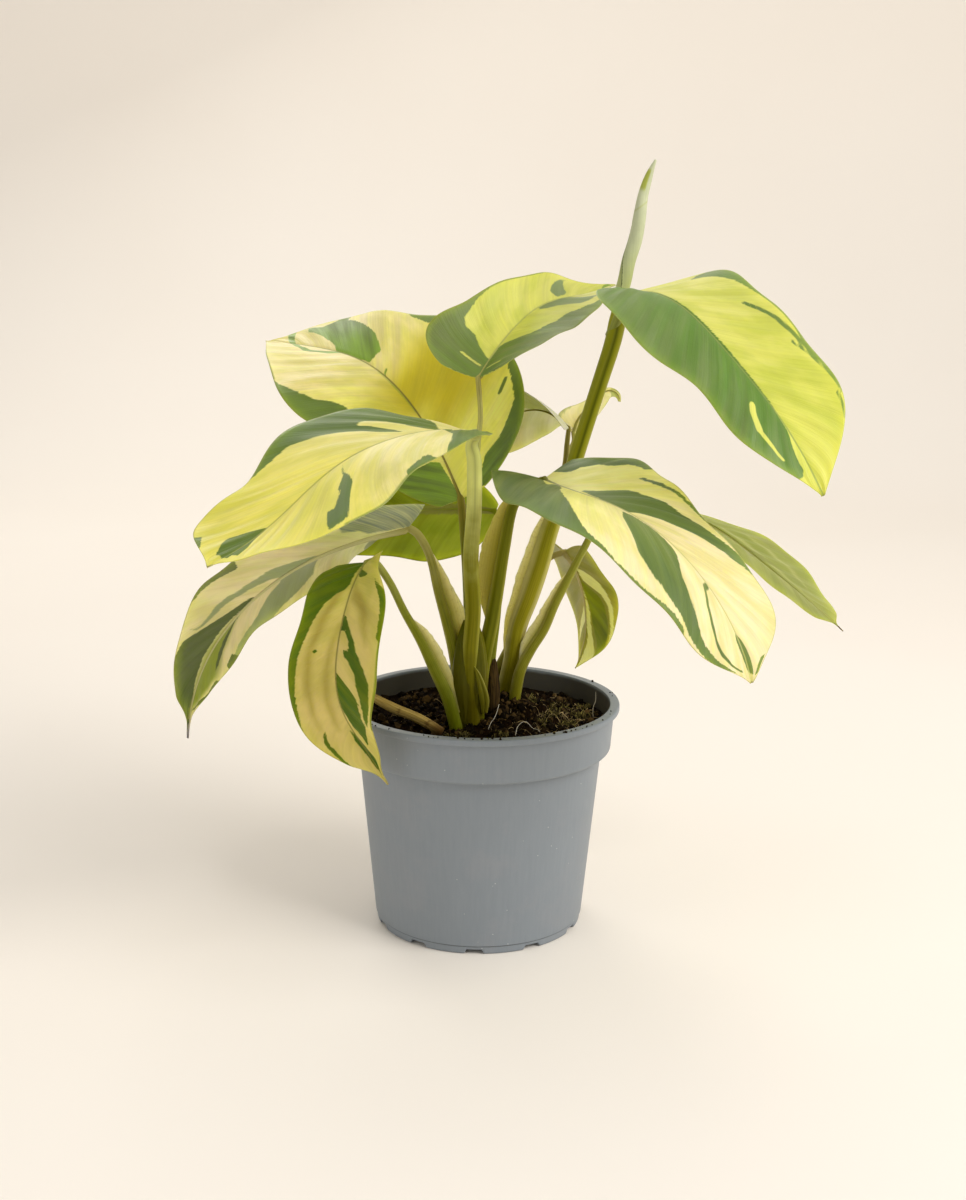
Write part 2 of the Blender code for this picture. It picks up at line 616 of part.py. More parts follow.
def make_soil(parts):
    cutters = new_collection("soil_cutters")
    shoulder = POT_HEIGHT - BAND_HEIGHT + WALL
    top_radius = inner_radius(SOIL_LEVEL) - GAP
    profile = [(top_radius * ring / SOIL_RINGS, SOIL_LEVEL) for ring in range(SOIL_RINGS + 1)]
    profile += [
        (inner_radius(shoulder + 1) - GAP, shoulder + 1 + GAP),
        (inner_radius(shoulder - 1) - GAP, shoulder - 1 + GAP),
        (inner_radius(FLOOR + 1.5) - GAP, FLOOR + 1.5 + GAP),
        (inner_radius(FLOOR) - 1.5 - GAP, FLOOR + GAP),
        (0, FLOOR + GAP),
    ]
    turned = turned_object("soil_turned", profile, SOIL_STEPS, parts)
    mesh = finished_mesh(turned)
    bpy.data.objects.remove(turned, do_unlink=True)
    for vertex in mesh.vertices:
        if vertex.co.z > (SOIL_LEVEL - 0.01) * MM:
            vertex.co.z += float(soil_rise(vertex.co.x / MM, vertex.co.y / MM)) * MM
    soil = add_object("soil", mesh, parts)
    for name, stalk in STALKS.items():
        if stalk.get("rooted"):
            radius = stalk["radii"][0] + HOLE_CLEARANCE
            place = stalk["route"][0]
            cylinder_cutter(f"hole_{name}", place, radius, HOLE_FLOOR, HOLE_TOP, cutters)
    cut(soil, cutters)
    soil.data.materials.append(material_of("soil", (0.03, 0.018, 0.01), 0.95))
    shade_round(soil.data, SOIL_CREASE)


def main():
    clear_scene()
    parts = new_collection(ASSEMBLY)
    make_pot(parts)
    make_soil(parts)
    for name, (stalk_names, colour, roughness) in PLANT_PIECES.items():
        plant_piece(name, stalk_names, colour, roughness, parts)


main()
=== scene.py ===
import math
from functools import partial

import bmesh
import bpy
import numpy as np
from mathutils import Matrix, Vector


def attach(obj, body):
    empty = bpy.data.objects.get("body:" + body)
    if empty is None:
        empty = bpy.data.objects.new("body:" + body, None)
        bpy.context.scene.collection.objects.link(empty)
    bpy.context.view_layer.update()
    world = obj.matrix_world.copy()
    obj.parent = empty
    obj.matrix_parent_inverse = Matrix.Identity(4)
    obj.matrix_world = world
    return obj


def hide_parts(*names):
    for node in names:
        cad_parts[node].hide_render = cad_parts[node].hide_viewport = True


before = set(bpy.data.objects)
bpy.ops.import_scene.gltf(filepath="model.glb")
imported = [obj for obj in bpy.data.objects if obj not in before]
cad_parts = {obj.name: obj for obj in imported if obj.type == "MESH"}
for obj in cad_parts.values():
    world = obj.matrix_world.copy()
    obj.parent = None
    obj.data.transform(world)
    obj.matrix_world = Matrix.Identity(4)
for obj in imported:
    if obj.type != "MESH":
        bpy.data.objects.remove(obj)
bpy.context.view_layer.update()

mm = 0.001
fullTurn = 2 * math.pi


# a screen's hex colour turned to the linear values that shaders use
def linearColour(hexText):
    parts = [int(hexText[i:i + 2], 16) / 255 for i in (1, 3, 5)]
    return tuple(p / 12.92 if p <= 0.04045 else ((p + 0.055) / 1.055) ** 2.4 for p in parts) + (1.0,)


# fills a node's inputs: a link where the value is another node's output, hex text as a colour
def fillInputs(tree, node, inputs):
    for key, value in inputs.items():
        if isinstance(value, bpy.types.NodeSocket):
            tree.links.new(value, node.inputs[key])
        else:
            node.inputs[key].default_value = linearColour(value) if isinstance(value, str) else value


# adds a node with its properties and its inputs, by name or in order, and gives back one output
def addNode(tree, kind, inputs=(), out=None, **settings):
    node = tree.nodes.new("ShaderNode" + kind)
    mix = kind == "Mix"
    if mix:
        settings["data_type"] = "RGBA"
    for key, value in settings.items():
        setattr(node, key, value)
    order = (0, 6, 7) if mix else range(len(inputs))
    fillInputs(tree, node, inputs if isinstance(inputs, dict) else dict(zip(order, inputs)))
    return node.outputs[out if out is not None else 2 if mix else 0]


# a material, given back as what works on it: its node adder, its finisher, the place on the piece
# (its flat map or its own coordinates) and the marks named in keys; the finisher sets the tone, a
# bump as height, strength and distance, the shine, and the light let through as share, radii, scale
def newMaterial(name, roughness, ior=1.5, keys=(), flat=False):
    material = bpy.data.materials.new(name)
    material.use_nodes = True
    tree = material.node_tree
    add = partial(addNode, tree)

    def finish(tone, bump=None, shine=0.5, through=(), gloss=roughness):
        inputs = {"Base Color": tone, "Roughness": gloss, "IOR": ior, "Specular IOR Level": shine}
        inputs |= zip(("Subsurface Weight", "Subsurface Radius", "Subsurface Scale"), through)
        if bump:
            inputs["Normal"] = add("Bump", dict(zip(("Height", "Strength", "Distance"), bump)))
        fillInputs(tree, tree.nodes["Principled BSDF"], inputs)
        return material

    place = add("UVMap", uv_map="flatMap") if flat else add("TexCoord", out="Object")
    return add, finish, place, {key: add("Attribute", out="Fac", attribute_name=key) for key in keys}


# settings that many nodes share
eased, planar = dict(interpolation_type="SMOOTHSTEP"), dict(noise_dimensions="2D")
times, timesPlus = dict(operation="MULTIPLY"), dict(operation="MULTIPLY_ADD")


# tones laid over a first one: each has its share, or a source with the range that gives the share
def layTones(add, tone, layers, **settings):
    for source, *span, over in layers:
        share = add("MapRange", [source, *span], **settings) if span else source
        tone = add("Mix", [share, tone, over])
    return tone


# a tone made a little darker and lighter by turns, as a noise goes
def shadeTone(add, tone, noise, darkest, lightest):
    share = add("MapRange", [noise, 0.3, 0.7, darkest, lightest])
    return add("VectorMath", {0: tone, "Scale": share}, operation="SCALE")


# noise drawn out along the flat map, for veins and strands
def strandNoise(add, flat, scale, detail, roughness=0.5, shift=(0, 0, 0), turn=0.0):
    drawing = {"Location": shift, "Rotation": (0, 0, turn), "Scale": (*scale, 1)}
    inputs = {"Scale": 1.0, "Detail": detail, "Roughness": roughness}
    return add("TexNoise", {"Vector": add("Mapping", {"Vector": flat} | drawing)} | inputs, **planar)


# a smooth curve through evenly spaced values, read at places from 0 to 1: between two values it
# is the cubic that also follows their neighbours (Catmull-Rom)
def smoothCurve(values, place):
    values = np.asarray(values, float)
    spans = len(values) - 1
    place = np.clip(np.asarray(place, float), 0, 1) * spans
    span = np.minimum(place.astype(int), spans - 1)
    share = place - span
    ends = np.concatenate(([2 * values[0] - values[1]], values, [2 * values[-1] - values[-2]]))
    a, b, c, d = (ends[span + step] for step in range(4))
    return b + 0.5 * share * (c - a + share * (2 * a - 5 * b + 4 * c - d + share * (3 * (b - c) + d - a)))


def smoothPath(points, places):
    points = np.asarray(points, float)
    return np.stack([smoothCurve(points[:, axis], places) for axis in range(3)], -1)


# running length along a path in mm, from 0 at its first point
def distanceAlong(path):
    return np.concatenate([[0], np.cumsum(np.linalg.norm(np.diff(path, axis=0), axis=1))])


def turnAngles(count):
    return np.linspace(0, fullTurn, count, endpoint=False)


# an angle brought between minus and plus half a turn
def aroundFront(angle):
    return (angle + math.pi) % fullTurn - math.pi


def unit(vectors):
    return vectors / np.maximum(np.linalg.norm(vectors, axis=-1, keepdims=True), 1e-9)


def smoothStep(low, high, value):
    share = np.clip((value - low) / (high - low), 0, 1)
    return share * share * (3 - 2 * share)


noiseTable = np.random.default_rng(5).random((64, 64))


# soft random values on a plane: a lattice of random heights, blended smoothly between its points
def softNoise(x, y, cell, shift=0):
    x, y = x / cell + 17.3 * shift, y / cell + 9.1 * shift
    i, j = np.floor(x).astype(int), np.floor(y).astype(int)
    fx, fy = x - i, y - j
    fx, fy = fx * fx * (3 - 2 * fx), fy * fy * (3 - 2 * fy)
    a, b, c, d = (noiseTable[(i + p) % 64, (j + q) % 64] for q in (0, 1) for p in (0, 1))
    return (a * (1 - fx) + b * fx) * (1 - fy) + (c * (1 - fx) + d * fx) * fy


# a new object at the origin, in the scene
def addObject(name, data):
    thing = bpy.data.objects.new(name, data)
    bpy.context.scene.collection.objects.link(thing)
    return thing


# puts arrays into a mesh: points in mm, faces, the flat map at each point and any marks
def makePiece(name, points, faces, material, node, flat=None, marks=None, smooth=True):
    mesh = bpy.data.meshes.new(name)
    mesh.from_pydata((points * mm).tolist(), [], faces)
    if flat is not None:
        corners = np.concatenate([np.asarray(face) for face in faces])
        layer = mesh.uv_layers.new(name="flatMap")
        layer.data.foreach_set("uv", np.asarray(flat)[corners].astype(np.float32).ravel())
    for key, values in (marks or {}).items():
        mark = mesh.attributes.new(key, "FLOAT", "POINT")
        mark.data.foreach_set("value", np.asarray(values, np.float32).ravel())
    mesh.materials.append(material)
    if smooth:
        mesh.shade_smooth()
    piece = addObject(name, mesh)
    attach(piece, "root")
    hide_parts(node)
    return piece


# faces over a grid of points
def gridFaces(rows, columns):
    index = np.arange(rows * columns).reshape(rows, columns)
    return np.stack([index[:-1, :-1], index[:-1, 1:], index[1:, 1:], index[1:, :-1]], -1).reshape(-1, 4)


# a closed sheet: the grid moved half its thickness to each side, joined round its rim
def sheetArrays(points, thickness):
    rows, columns = points.shape[:2]
    outward = unit(np.cross(np.gradient(points, axis=1), np.gradient(points, axis=0)))
    half = (thickness / 2)[..., None]
    solid = np.concatenate([points + outward * half, points - outward * half]).reshape(-1, 3)
    index = np.arange(rows * columns).reshape(rows, columns)
    top = gridFaces(rows, columns)
    under = top[:, [0, 3, 2, 1]] + rows * columns
    rim = np.concatenate([index[0, :-1], index[:-1, -1], index[-1, :0:-1], index[:0:-1, 0]])
    after = np.roll(rim, -1)
    side = np.stack([rim + rows * columns, after + rows * columns, after, rim], -1)
    return solid, np.concatenate([top, under, side]).tolist()


# faces between rings of points, closed by a fan round one more point at each end
def ringFaces(count, sides):
    index = np.arange(count * sides).reshape(count, sides)
    after = np.roll(index, -1, axis=1)
    quads = np.stack([index[:-1], after[:-1], after[1:], index[1:]], -1).reshape(-1, 4)
    start = np.stack([after[0], index[0], np.full(sides, count * sides)], -1)
    end = np.stack([index[-1], after[-1], np.full(sides, count * sides + 1)], -1)
    return quads.tolist() + start.tolist() + end.tolist()


# a closed turned body: rings about the upright axis, and the heights of its two middle points
def turnedArrays(rings, first, last):
    points = np.concatenate([rings.reshape(-1, 3), [(0, 0, first), (0, 0, last)]])
    return points, ringFaces(*rings.shape[:2])


# flat map of a tube: mm around and mm along at each point, then its two end points
def tubeMap(around, along):
    flat = np.stack(np.broadcast_arrays(around, along[:, None]), -1).reshape(-1, 2)
    return np.concatenate([flat, flat[:1], flat[-1:]])


# a closed tube: at each place of a path a ring, the path's point plus radius cos to the front plus
# radius sin to the side, and a point in the middle of each end
def tubeArrays(path, radii, sides):
    reference = np.array((0.1, -1.0, 0.15))  # forwards: the first point of each ring looks this way
    tangent = unit(np.gradient(path, axis=0))
    front = unit(reference - tangent * (tangent @ reference)[:, None])
    side = np.cross(tangent, front)
    angle = turnAngles(sides)[:, None]
    reach = (radii if radii.ndim == 2 else radii[:, None])[..., None]
    ring = front[:, None] * (reach * np.cos(angle)) + side[:, None] * (reach * np.sin(angle))
    points = np.concatenate([(path[:, None] + ring).reshape(-1, 3), path[:1], path[-1:]])
    return points, ringFaces(len(path), sides)


# camera at the photograph's angle: 50 mm lens, a little above the leaves, very slightly tilted
view = dict(lens=50.0, lift=12.6, tilt=-0.57, distance=622.0, aim=(0.6, 0.0, 124.4))


def makeCamera():
    lift, tilt = math.radians(view["lift"]), math.radians(view["tilt"])
    back = Vector((0, -math.cos(lift), math.sin(lift)))
    flatRight, flatUp = Vector((1, 0, 0)), Vector((0, math.sin(lift), math.cos(lift)))
    right = flatRight * math.cos(tilt) - flatUp * math.sin(tilt)
    up = flatRight * math.sin(tilt) + flatUp * math.cos(tilt)
    data = bpy.data.cameras.new("camera")
    data.lens = view["lens"]
    data.sensor_width = 36
    data.clip_start = 0.01
    camera = addObject("camera", data)
    place = Vector(view["aim"]) * mm + back * view["distance"] * mm
    turn = Matrix((right, up, back)).transposed().to_4x4()
    camera.matrix_world = Matrix.Translation(place) @ turn
    bpy.context.scene.camera = camera


makeCamera()
bpy.context.scene.view_settings.view_transform = "Standard"  # colours as an ordinary camera shows them
print("camera placed")


# pot: injection moulded polypropylene, thin walls, a rim band, a rolled lip and a notched foot
pot = dict(
    height=86.0, lipRadius=52.5, lipHeight=2.4, bandTop=50.4, bandFoot=49.4, bandHeight=17.5,
    bodyTop=46.0, footRadius=39.4, footLine=3.2, wall=1.4, floor=1.8, columns=352,
    notches=11, notchWidth=7.6, notchHeight=1.9, notchInner=34.4, firstNotch=-92.0,
    drains=6, drainRadius=3.0, drainRing=24.0,
)


# a profile with rounded corners: each one (radius, height, rounding) becomes a short parabola that
# leaves and meets its edges
def roundedProfile(corners):
    points = []
    for before, corner, after in zip([None] + corners[:-1], corners, corners[1:] + [None]):
        here, radius = np.array(corner[:2], float), corner[2]
        if before is None or after is None or radius == 0:
            points.append(here)
            continue
        start = here + unit(np.array(before[:2]) - here) * radius
        end = here + unit(np.array(after[:2]) - here) * radius
        share = np.linspace(0, 1, 6)[:, None]
        points.extend(start * (1 - share) ** 2 + here * 2 * share * (1 - share) + end * share ** 2)
    return np.array(points)


def potProfile():
    p = pot
    bandFoot = p["height"] - p["bandHeight"]
    shoulder = bandFoot + p["wall"]
    slope = (p["bodyTop"] - p["footRadius"]) / bandFoot
    lineRadius = p["footRadius"] + slope * p["footLine"]
    innerFoot, innerTop = p["footRadius"] - p["wall"], p["bodyTop"] - p["wall"]
    return roundedProfile([
        (0, p["floor"], 0), (innerFoot - 3, p["floor"], 0), (innerFoot, p["floor"] + 0.2, 1.2),
        (innerTop, shoulder - 0.8, 0.5), (p["bandFoot"] - p["wall"], shoulder + 0.8, 0.5),
        (p["bandTop"] - p["wall"], p["height"], 0.4),
        (p["lipRadius"], p["height"], 0.7), (p["lipRadius"], p["height"] - p["lipHeight"], 0.6),
        (p["bandTop"] + 0.1, p["height"] - p["lipHeight"] - 0.2, 0.4),
        (p["bandFoot"], bandFoot + 0.1, 1.3), (p["bodyTop"] + 0.4, bandFoot - 0.1, 0.3),
        (p["bodyTop"] - 0.1, bandFoot - 0.9, 0.3), (p["bodyTop"] - slope * 30, bandFoot - 30, 0),
        (lineRadius, p["footLine"] + 0.15, 0.1), (lineRadius - 0.4, p["footLine"], 0.15),
        (p["footRadius"] - 0.35, 0, 0.9), (p["notchInner"] + 0.05, 0, 0), (p["notchInner"] - 0.05, 0, 0),
        (0, 0, 0),
    ])[::-1]


# potPlastic: blue-grey polypropylene with a satin skin, so soft broad highlights, with faint
# upright drag lines from the mould, dusty smears and a few pale specks
def potPlastic():
    add, finish, place, marks = newMaterial("moulded polypropylene", 0.46, 1.49, ("innerStainAndShade",))
    upright = add("Mapping", {"Vector": place, "Scale": (900, 900, 18)})
    drag = add("TexNoise", {"Vector": upright, "Scale": 1.0, "Detail": 3.0})
    dust = add("TexNoise", {"Vector": place, "Scale": 45.0, "Detail": 6.0, "Roughness": 0.65})
    speck = add("TexVoronoi", {"Vector": place, "Scale": 210.0, "Randomness": 1.0})
    grain = add("TexNoise", {"Vector": place, "Scale": 1400.0, "Detail": 2.0})
    level = add("SeparateXYZ", [place], out=2)
    nearLine = add("Math", [level, 0.00305, 0.00022], operation="COMPARE")  # painted shade along the parting line's small groove
    partingShade = add("Math", [nearLine, 0.7], **times)
    cloudy = add("Math", [dust, 0.0012, level], **timesPlus)
    below = add("MapRange", [cloudy, 0.0864, 0.0850, 0.0, 0.95], **eased)
    innerStainShadeShare = add("Math", [below, marks["innerStainAndShade"]], **times)  # wet peat dries on the inner side; its dark tone is also painted shade
    tone = layTones(add, "#7f878e", [
        (drag, 0.3, 0.7, 0.15, 0.4, "#8c949b"), (dust, 0.52, 0.75, 0.0, 0.35, "#98979a"),
        (speck, 0.045, 0.03, 0.0, 0.7, "#d8dbdc"), (partingShade, "#4c5256"), (innerStainShadeShare, "#3a3422"),
    ])
    height = add("Math", [drag, 0.5, grain], **timesPlus)
    return finish(tone, (height, 0.12, 0.0002), gloss=add("MapRange", [dust, 0.3, 0.8, 0.42, 0.6]))


# pot surface: the profile turned about the upright axis, x = radius cos, y = radius sin; near the
# foot the height is at least the notch's, which falls off smoothly at the notch's sides
def makePot():
    profile = potProfile()
    angle, ring = turnAngles(pot["columns"]), profile[1:-1]
    radius, height = ring[:, :1] + 0 * angle, ring[:, 1:] + 0 * angle
    step = 360 / pot["notches"]
    offset = np.abs((np.degrees(angle) - pot["firstNotch"] + step / 2) % step - step / 2)
    offset = np.radians(offset) * pot["footRadius"]
    side = pot["notchWidth"] / 2
    lift = pot["notchHeight"] * (1 - smoothStep(side - 0.9, side, offset))
    atFoot = (ring[:, :1] > pot["notchInner"]) & (ring[:, 1:] < pot["notchHeight"])
    height = np.where(atFoot, np.maximum(height, lift), height)
    rings = np.stack([radius * np.cos(angle), radius * np.sin(angle), height], -1)
    points, faces = turnedArrays(rings, profile[0, 1], profile[-1, 1])
    within = np.arange(len(ring)) > np.flatnonzero(ring[:, 1] > pot["height"] - 0.3).max()  # the inner side
    innerStainAndShade = np.append(np.repeat(within * 1.0, pot["columns"]), [0, 0])
    piece = makePiece("pot_moulding", points, faces, potPlastic(), "pot", marks={"innerStainAndShade": innerStainAndShade})

    # round drain holes through the floor, cut now so that nothing stays live
    work = bmesh.new()
    drain, away = pot["drainRadius"] * mm, pot["drainRing"] * mm
    for turn in turnAngles(pot["drains"]):
        place = Matrix.Translation((away * math.cos(turn), away * math.sin(turn), 0.5 * mm))
        bmesh.ops.create_cone(work, cap_ends=True, segments=48, radius1=drain, radius2=drain, depth=8 * mm,
                              matrix=place)
    mesh = bpy.data.meshes.new("drain cutter")
    work.to_mesh(mesh)
    work.free()
    cutter = addObject("drain cutter", mesh)
    cut = piece.modifiers.new("drains", "BOOLEAN")
    cut.object, cut.operation, cut.solver = cutter, "DIFFERENCE", "EXACT"
    bpy.context.view_layer.update()
    cutMesh = bpy.data.meshes.new_from_object(piece.evaluated_get(bpy.context.evaluated_depsgraph_get()))
    piece.modifiers.clear()
    piece.data = cutMesh
    bpy.data.objects.remove(cutter)
    piece.data.set_sharp_from_angle(angle=math.radians(40))


makePot()
print("pot made")


# soil: moist peat compost with bark crumbs, fibres and a little moss
soil = dict(
    level=78.0, radius=48.1, rings=150, columns=320, crumbHeight=0.9, bottom=2.1,
    swells=[((10, 10), 5.5, 9.0), ((-19, -18), -3.5, 5.0)],  # mound and dip: middle, height, spread
    below=[(47.9, 70.2), (44.3, 67.9), (37.9, 3.7), (36.2, 2.1)],  # radius and height down the sides
)


# soil height: its level, a bell-shaped mound and dip, slow sine waves that fade at the wall, then
# clods and grains of soft noise
def soilHeight(x, y, fine=True):
    height = soil["level"]
    for middle, tall, spread in soil["swells"]:
        height = height + tall * np.exp(-((x - middle[0]) ** 2 + (y - middle[1]) ** 2) / (2 * spread ** 2))
    waves = np.sin(0.42 * x + 1.3) * np.sin(0.37 * y + 0.4) + 0.6 * np.sin(0.9 * x - 0.7 * y)
    fade = np.clip((soil["radius"] - np.hypot(x, y)) / 12, 0, 1)
    height = height + soil["crumbHeight"] * waves * fade
    if fine:
        clods = softNoise(x, y, 3.1, 1) + 0.6 * softNoise(x, y, 1.5, 2) + 0.35 * softNoise(x, y, 0.7, 3)
        height = height + 1.7 * (clods - 0.98) * (0.35 + 0.65 * fade)
    return height


# peatCompost: loose dark organic matter, no shine, colour changes from grain to grain
def peatCompost():
    add, finish, place, _ = newMaterial("moist peat compost", 0.95, 1.4)
    clod = add("TexNoise", {"Vector": place, "Scale": 420.0, "Detail": 6.0, "Roughness": 0.7})
    grain = add("TexVoronoi", {"Vector": place, "Scale": 900.0}, out=1)
    tone = layTones(add, "#080401", [
        (clod, 0.35, 0.72, 0.0, 1.0, "#22150a"), (grain, 0.8, 1.0, 0.0, 0.4, "#4c3820")])
    return finish(tone, (clod, 0.8, 0.0006), 0.05)


# crumbBark: bits of bark and wood fibre, drier and warmer than the peat
def crumbBark():
    add, finish, place, marks = newMaterial("bark crumbs", 0.9, 1.45, ("shade",))
    noise = add("TexNoise", {"Vector": place, "Scale": 700.0, "Detail": 4.0})
    tone = layTones(add, "#0b0602", [(marks["shade"], "#66502e"), (noise, 0.3, 0.7, 0.0, 0.5, "#120a04")])
    return finish(tone, (noise, 0.6, 0.0003), 0.08)


# soil body: rings from the middle of the top out to the wall, then down the sides to the floor
def makeSoil():
    topRadius = soil["radius"] * np.sqrt(np.linspace(0, 1, soil["rings"] + 1))[1:]
    below, angle = np.array(soil["below"]), turnAngles(soil["columns"])
    topX, topY = topRadius[:, None] * np.cos(angle), topRadius[:, None] * np.sin(angle)
    top = np.stack([topX, topY, soilHeight(topX, topY)], -1)
    sideRadius, sideHeight = below[:, :1], below[:, 1:] + 0 * angle
    lower = np.stack([sideRadius * np.cos(angle), sideRadius * np.sin(angle), sideHeight], -1)
    middle = float(soilHeight(np.array(0.0), np.array(0.0)))
    points, faces = turnedArrays(np.concatenate([top, lower])[::-1], soil["bottom"], middle)
    makePiece("soil_body", points, faces, peatCompost(), "soil")


# many copies of one small lump, each with its own size, turn, stretch and place
def scatterArrays(shape, faces, places, sizes, stretch, seed):
    dice = np.random.default_rng(seed)
    count = len(places)
    turn = unit(dice.normal(size=(count, 4)))
    w, x, y, z = turn.T
    matrix = np.stack([
        1 - 2 * (y * y + z * z), 2 * (x * y - z * w), 2 * (x * z + y * w),
        2 * (x * y + z * w), 1 - 2 * (x * x + z * z), 2 * (y * z - x * w),
        2 * (x * z - y * w), 2 * (y * z + x * w), 1 - 2 * (x * x + y * y)], -1).reshape(count, 3, 3)
    scale = sizes[:, None] * (1 + stretch * dice.random((count, 3)))
    lumps = shape[None] * (1 + 0.35 * dice.normal(size=(count, len(shape), 1)) * 0.5)
    points = np.einsum("cij,cvj->cvi", matrix, lumps * scale[:, None]) + places[:, None]
    offset = (np.arange(count) * len(shape))[:, None, None]
    return points.reshape(-1, 3), (faces[None] + offset).reshape(-1, faces.shape[1]).tolist()


def lumpShape():
    work = bmesh.new()
    bmesh.ops.create_icosphere(work, subdivisions=1, radius=1.0)
    shape = np.array([vertex.co[:] for vertex in work.verts])
    faces = np.array([[vertex.index for vertex in face.verts] for face in work.faces])
    work.free()
    return shape, faces


# crumbs: loose over the whole top, in low heaps by the feet of the stalks, and a few on the lip
# (heaps: middle x and y, spread in mm, number of crumbs)
heaps = [(-12, -9, 4, 60), (3, -11, 4, 80), (8, -3, 5, 110), (9, 8, 4, 60), (16, 4, 4, 50),
         (-22, 26, 7, 110), (-4, -18, 5, 50)]
reachable = 47.0  # crumbs and fibres end this far from the middle, a little inside the wall


def makeCrumbs():
    shape, faces = lumpShape()
    dice = np.random.default_rng(21)
    count = 1700
    reach, angle = reachable * np.sqrt(dice.random(count)), dice.random(count) * fullTurn
    x, y, lift = reach * np.cos(angle), reach * np.sin(angle), np.zeros(count)
    for middleX, middleY, spread, number in heaps:
        away = np.abs(dice.normal(size=number)) * spread * 0.6
        turn = dice.random(number) * fullTurn
        x = np.append(x, middleX + away * np.cos(turn))
        y = np.append(y, middleY + away * np.sin(turn))
        lift = np.append(lift, dice.random(number) * 2.4 * np.exp(-((away / spread) ** 2) * 2))
    inside = np.hypot(x, y) < reachable
    x, y, lift = x[inside], y[inside], lift[inside]
    sizes = 0.25 + 0.8 * dice.random(len(x)) ** 3 + 0.16 * lift
    places = np.stack([x, y, soilHeight(x, y) + sizes * 0.2 + lift * 0.5], -1)
    points, lumps = scatterArrays(shape, faces, places, sizes, 0.9, 22)
    shade = np.repeat(dice.random(len(x)) ** 3, len(shape))
    makePiece("soil_crumbs", points, lumps, crumbBark(), "soil", marks={"shade": shade}, smooth=False)

    count = 46  # on the lip, most of them towards the front
    reach, angle = 50.4 + 1.7 * dice.random(count), dice.normal(size=count) * 1.3 - 1.7
    sizes = 0.14 + 0.3 * dice.random(count) ** 2
    places = np.stack([reach * np.cos(angle), reach * np.sin(angle), pot["height"] + sizes * 0.6], -1)
    points, lumps = scatterArrays(shape, faces, places, sizes, 0.7, 23)
    shade = np.full(len(points), 0.15)
    makePiece("lip_crumbs", points, lumps, crumbBark(), "soil", marks={"shade": shade}, smooth=False)


# many thin round threads as one piece, from arrays of points along each and their radii
def makeThreads(name, paths, radii, sides, material, shades):
    points, faces, shade, total = [], [], [], 0
    for path, radius, tone in zip(paths, radii, shades):
        some, corners = tubeArrays(path, radius * np.linspace(1, 0.5, len(path)), sides)
        points.append(some)
        faces += [[total + corner for corner in face] for face in corners]
        shade.append(np.full(len(some), tone))
        total += len(some)
    makePiece(name, np.concatenate(points), faces, material, "soil", marks={"shade": np.concatenate(shade)})


# plantFibre: peat fibre, moss and fine root, matt, from the first tone to the second thread by thread
def plantFibre(name, dark, light):
    add, finish, place, marks = newMaterial(name, 0.85, 1.4, ("shade",))
    noise = add("TexNoise", {"Vector": place, "Scale": 900.0})
    uneven = add("Math", [noise, 0.4, marks["shade"]], **timesPlus)
    return finish(layTones(add, dark, [(uneven, 0.1, 1.2, 0.0, 1.0, light)]), shine=0.15)


# moss cushions: middle x and y, spread and number of shoots
cushions = [(27, 2, 3.5, 60), (33, -6, 3.0, 60), (38, 4, 3.5, 60), (30, 14, 4, 70), (40, 16, 3, 50),
            (24, -9, 2.5, 40), (-6, -25, 2.5, 60), (-12, -21, 2, 40), (35, -16, 2.5, 40), (21, 22, 3, 40),
            (8, -24, 3, 30)]
roots = [  # x, y and the height over the soil
    [(7, -6, 6), (6, -9, 4.5), (5, -12, 3.2), (4, -15, 2.2), (3, -18, 1.0)],
    [(13, -22, 0.3), (14, -18, 2.6), (17, -17, 3.2), (20, -18, 2.0), (22, -20, 0.2)],
    [(43, 3, 0.2), (43, 5, 3), (44, 6, 6), (44, 7, 9)],
]


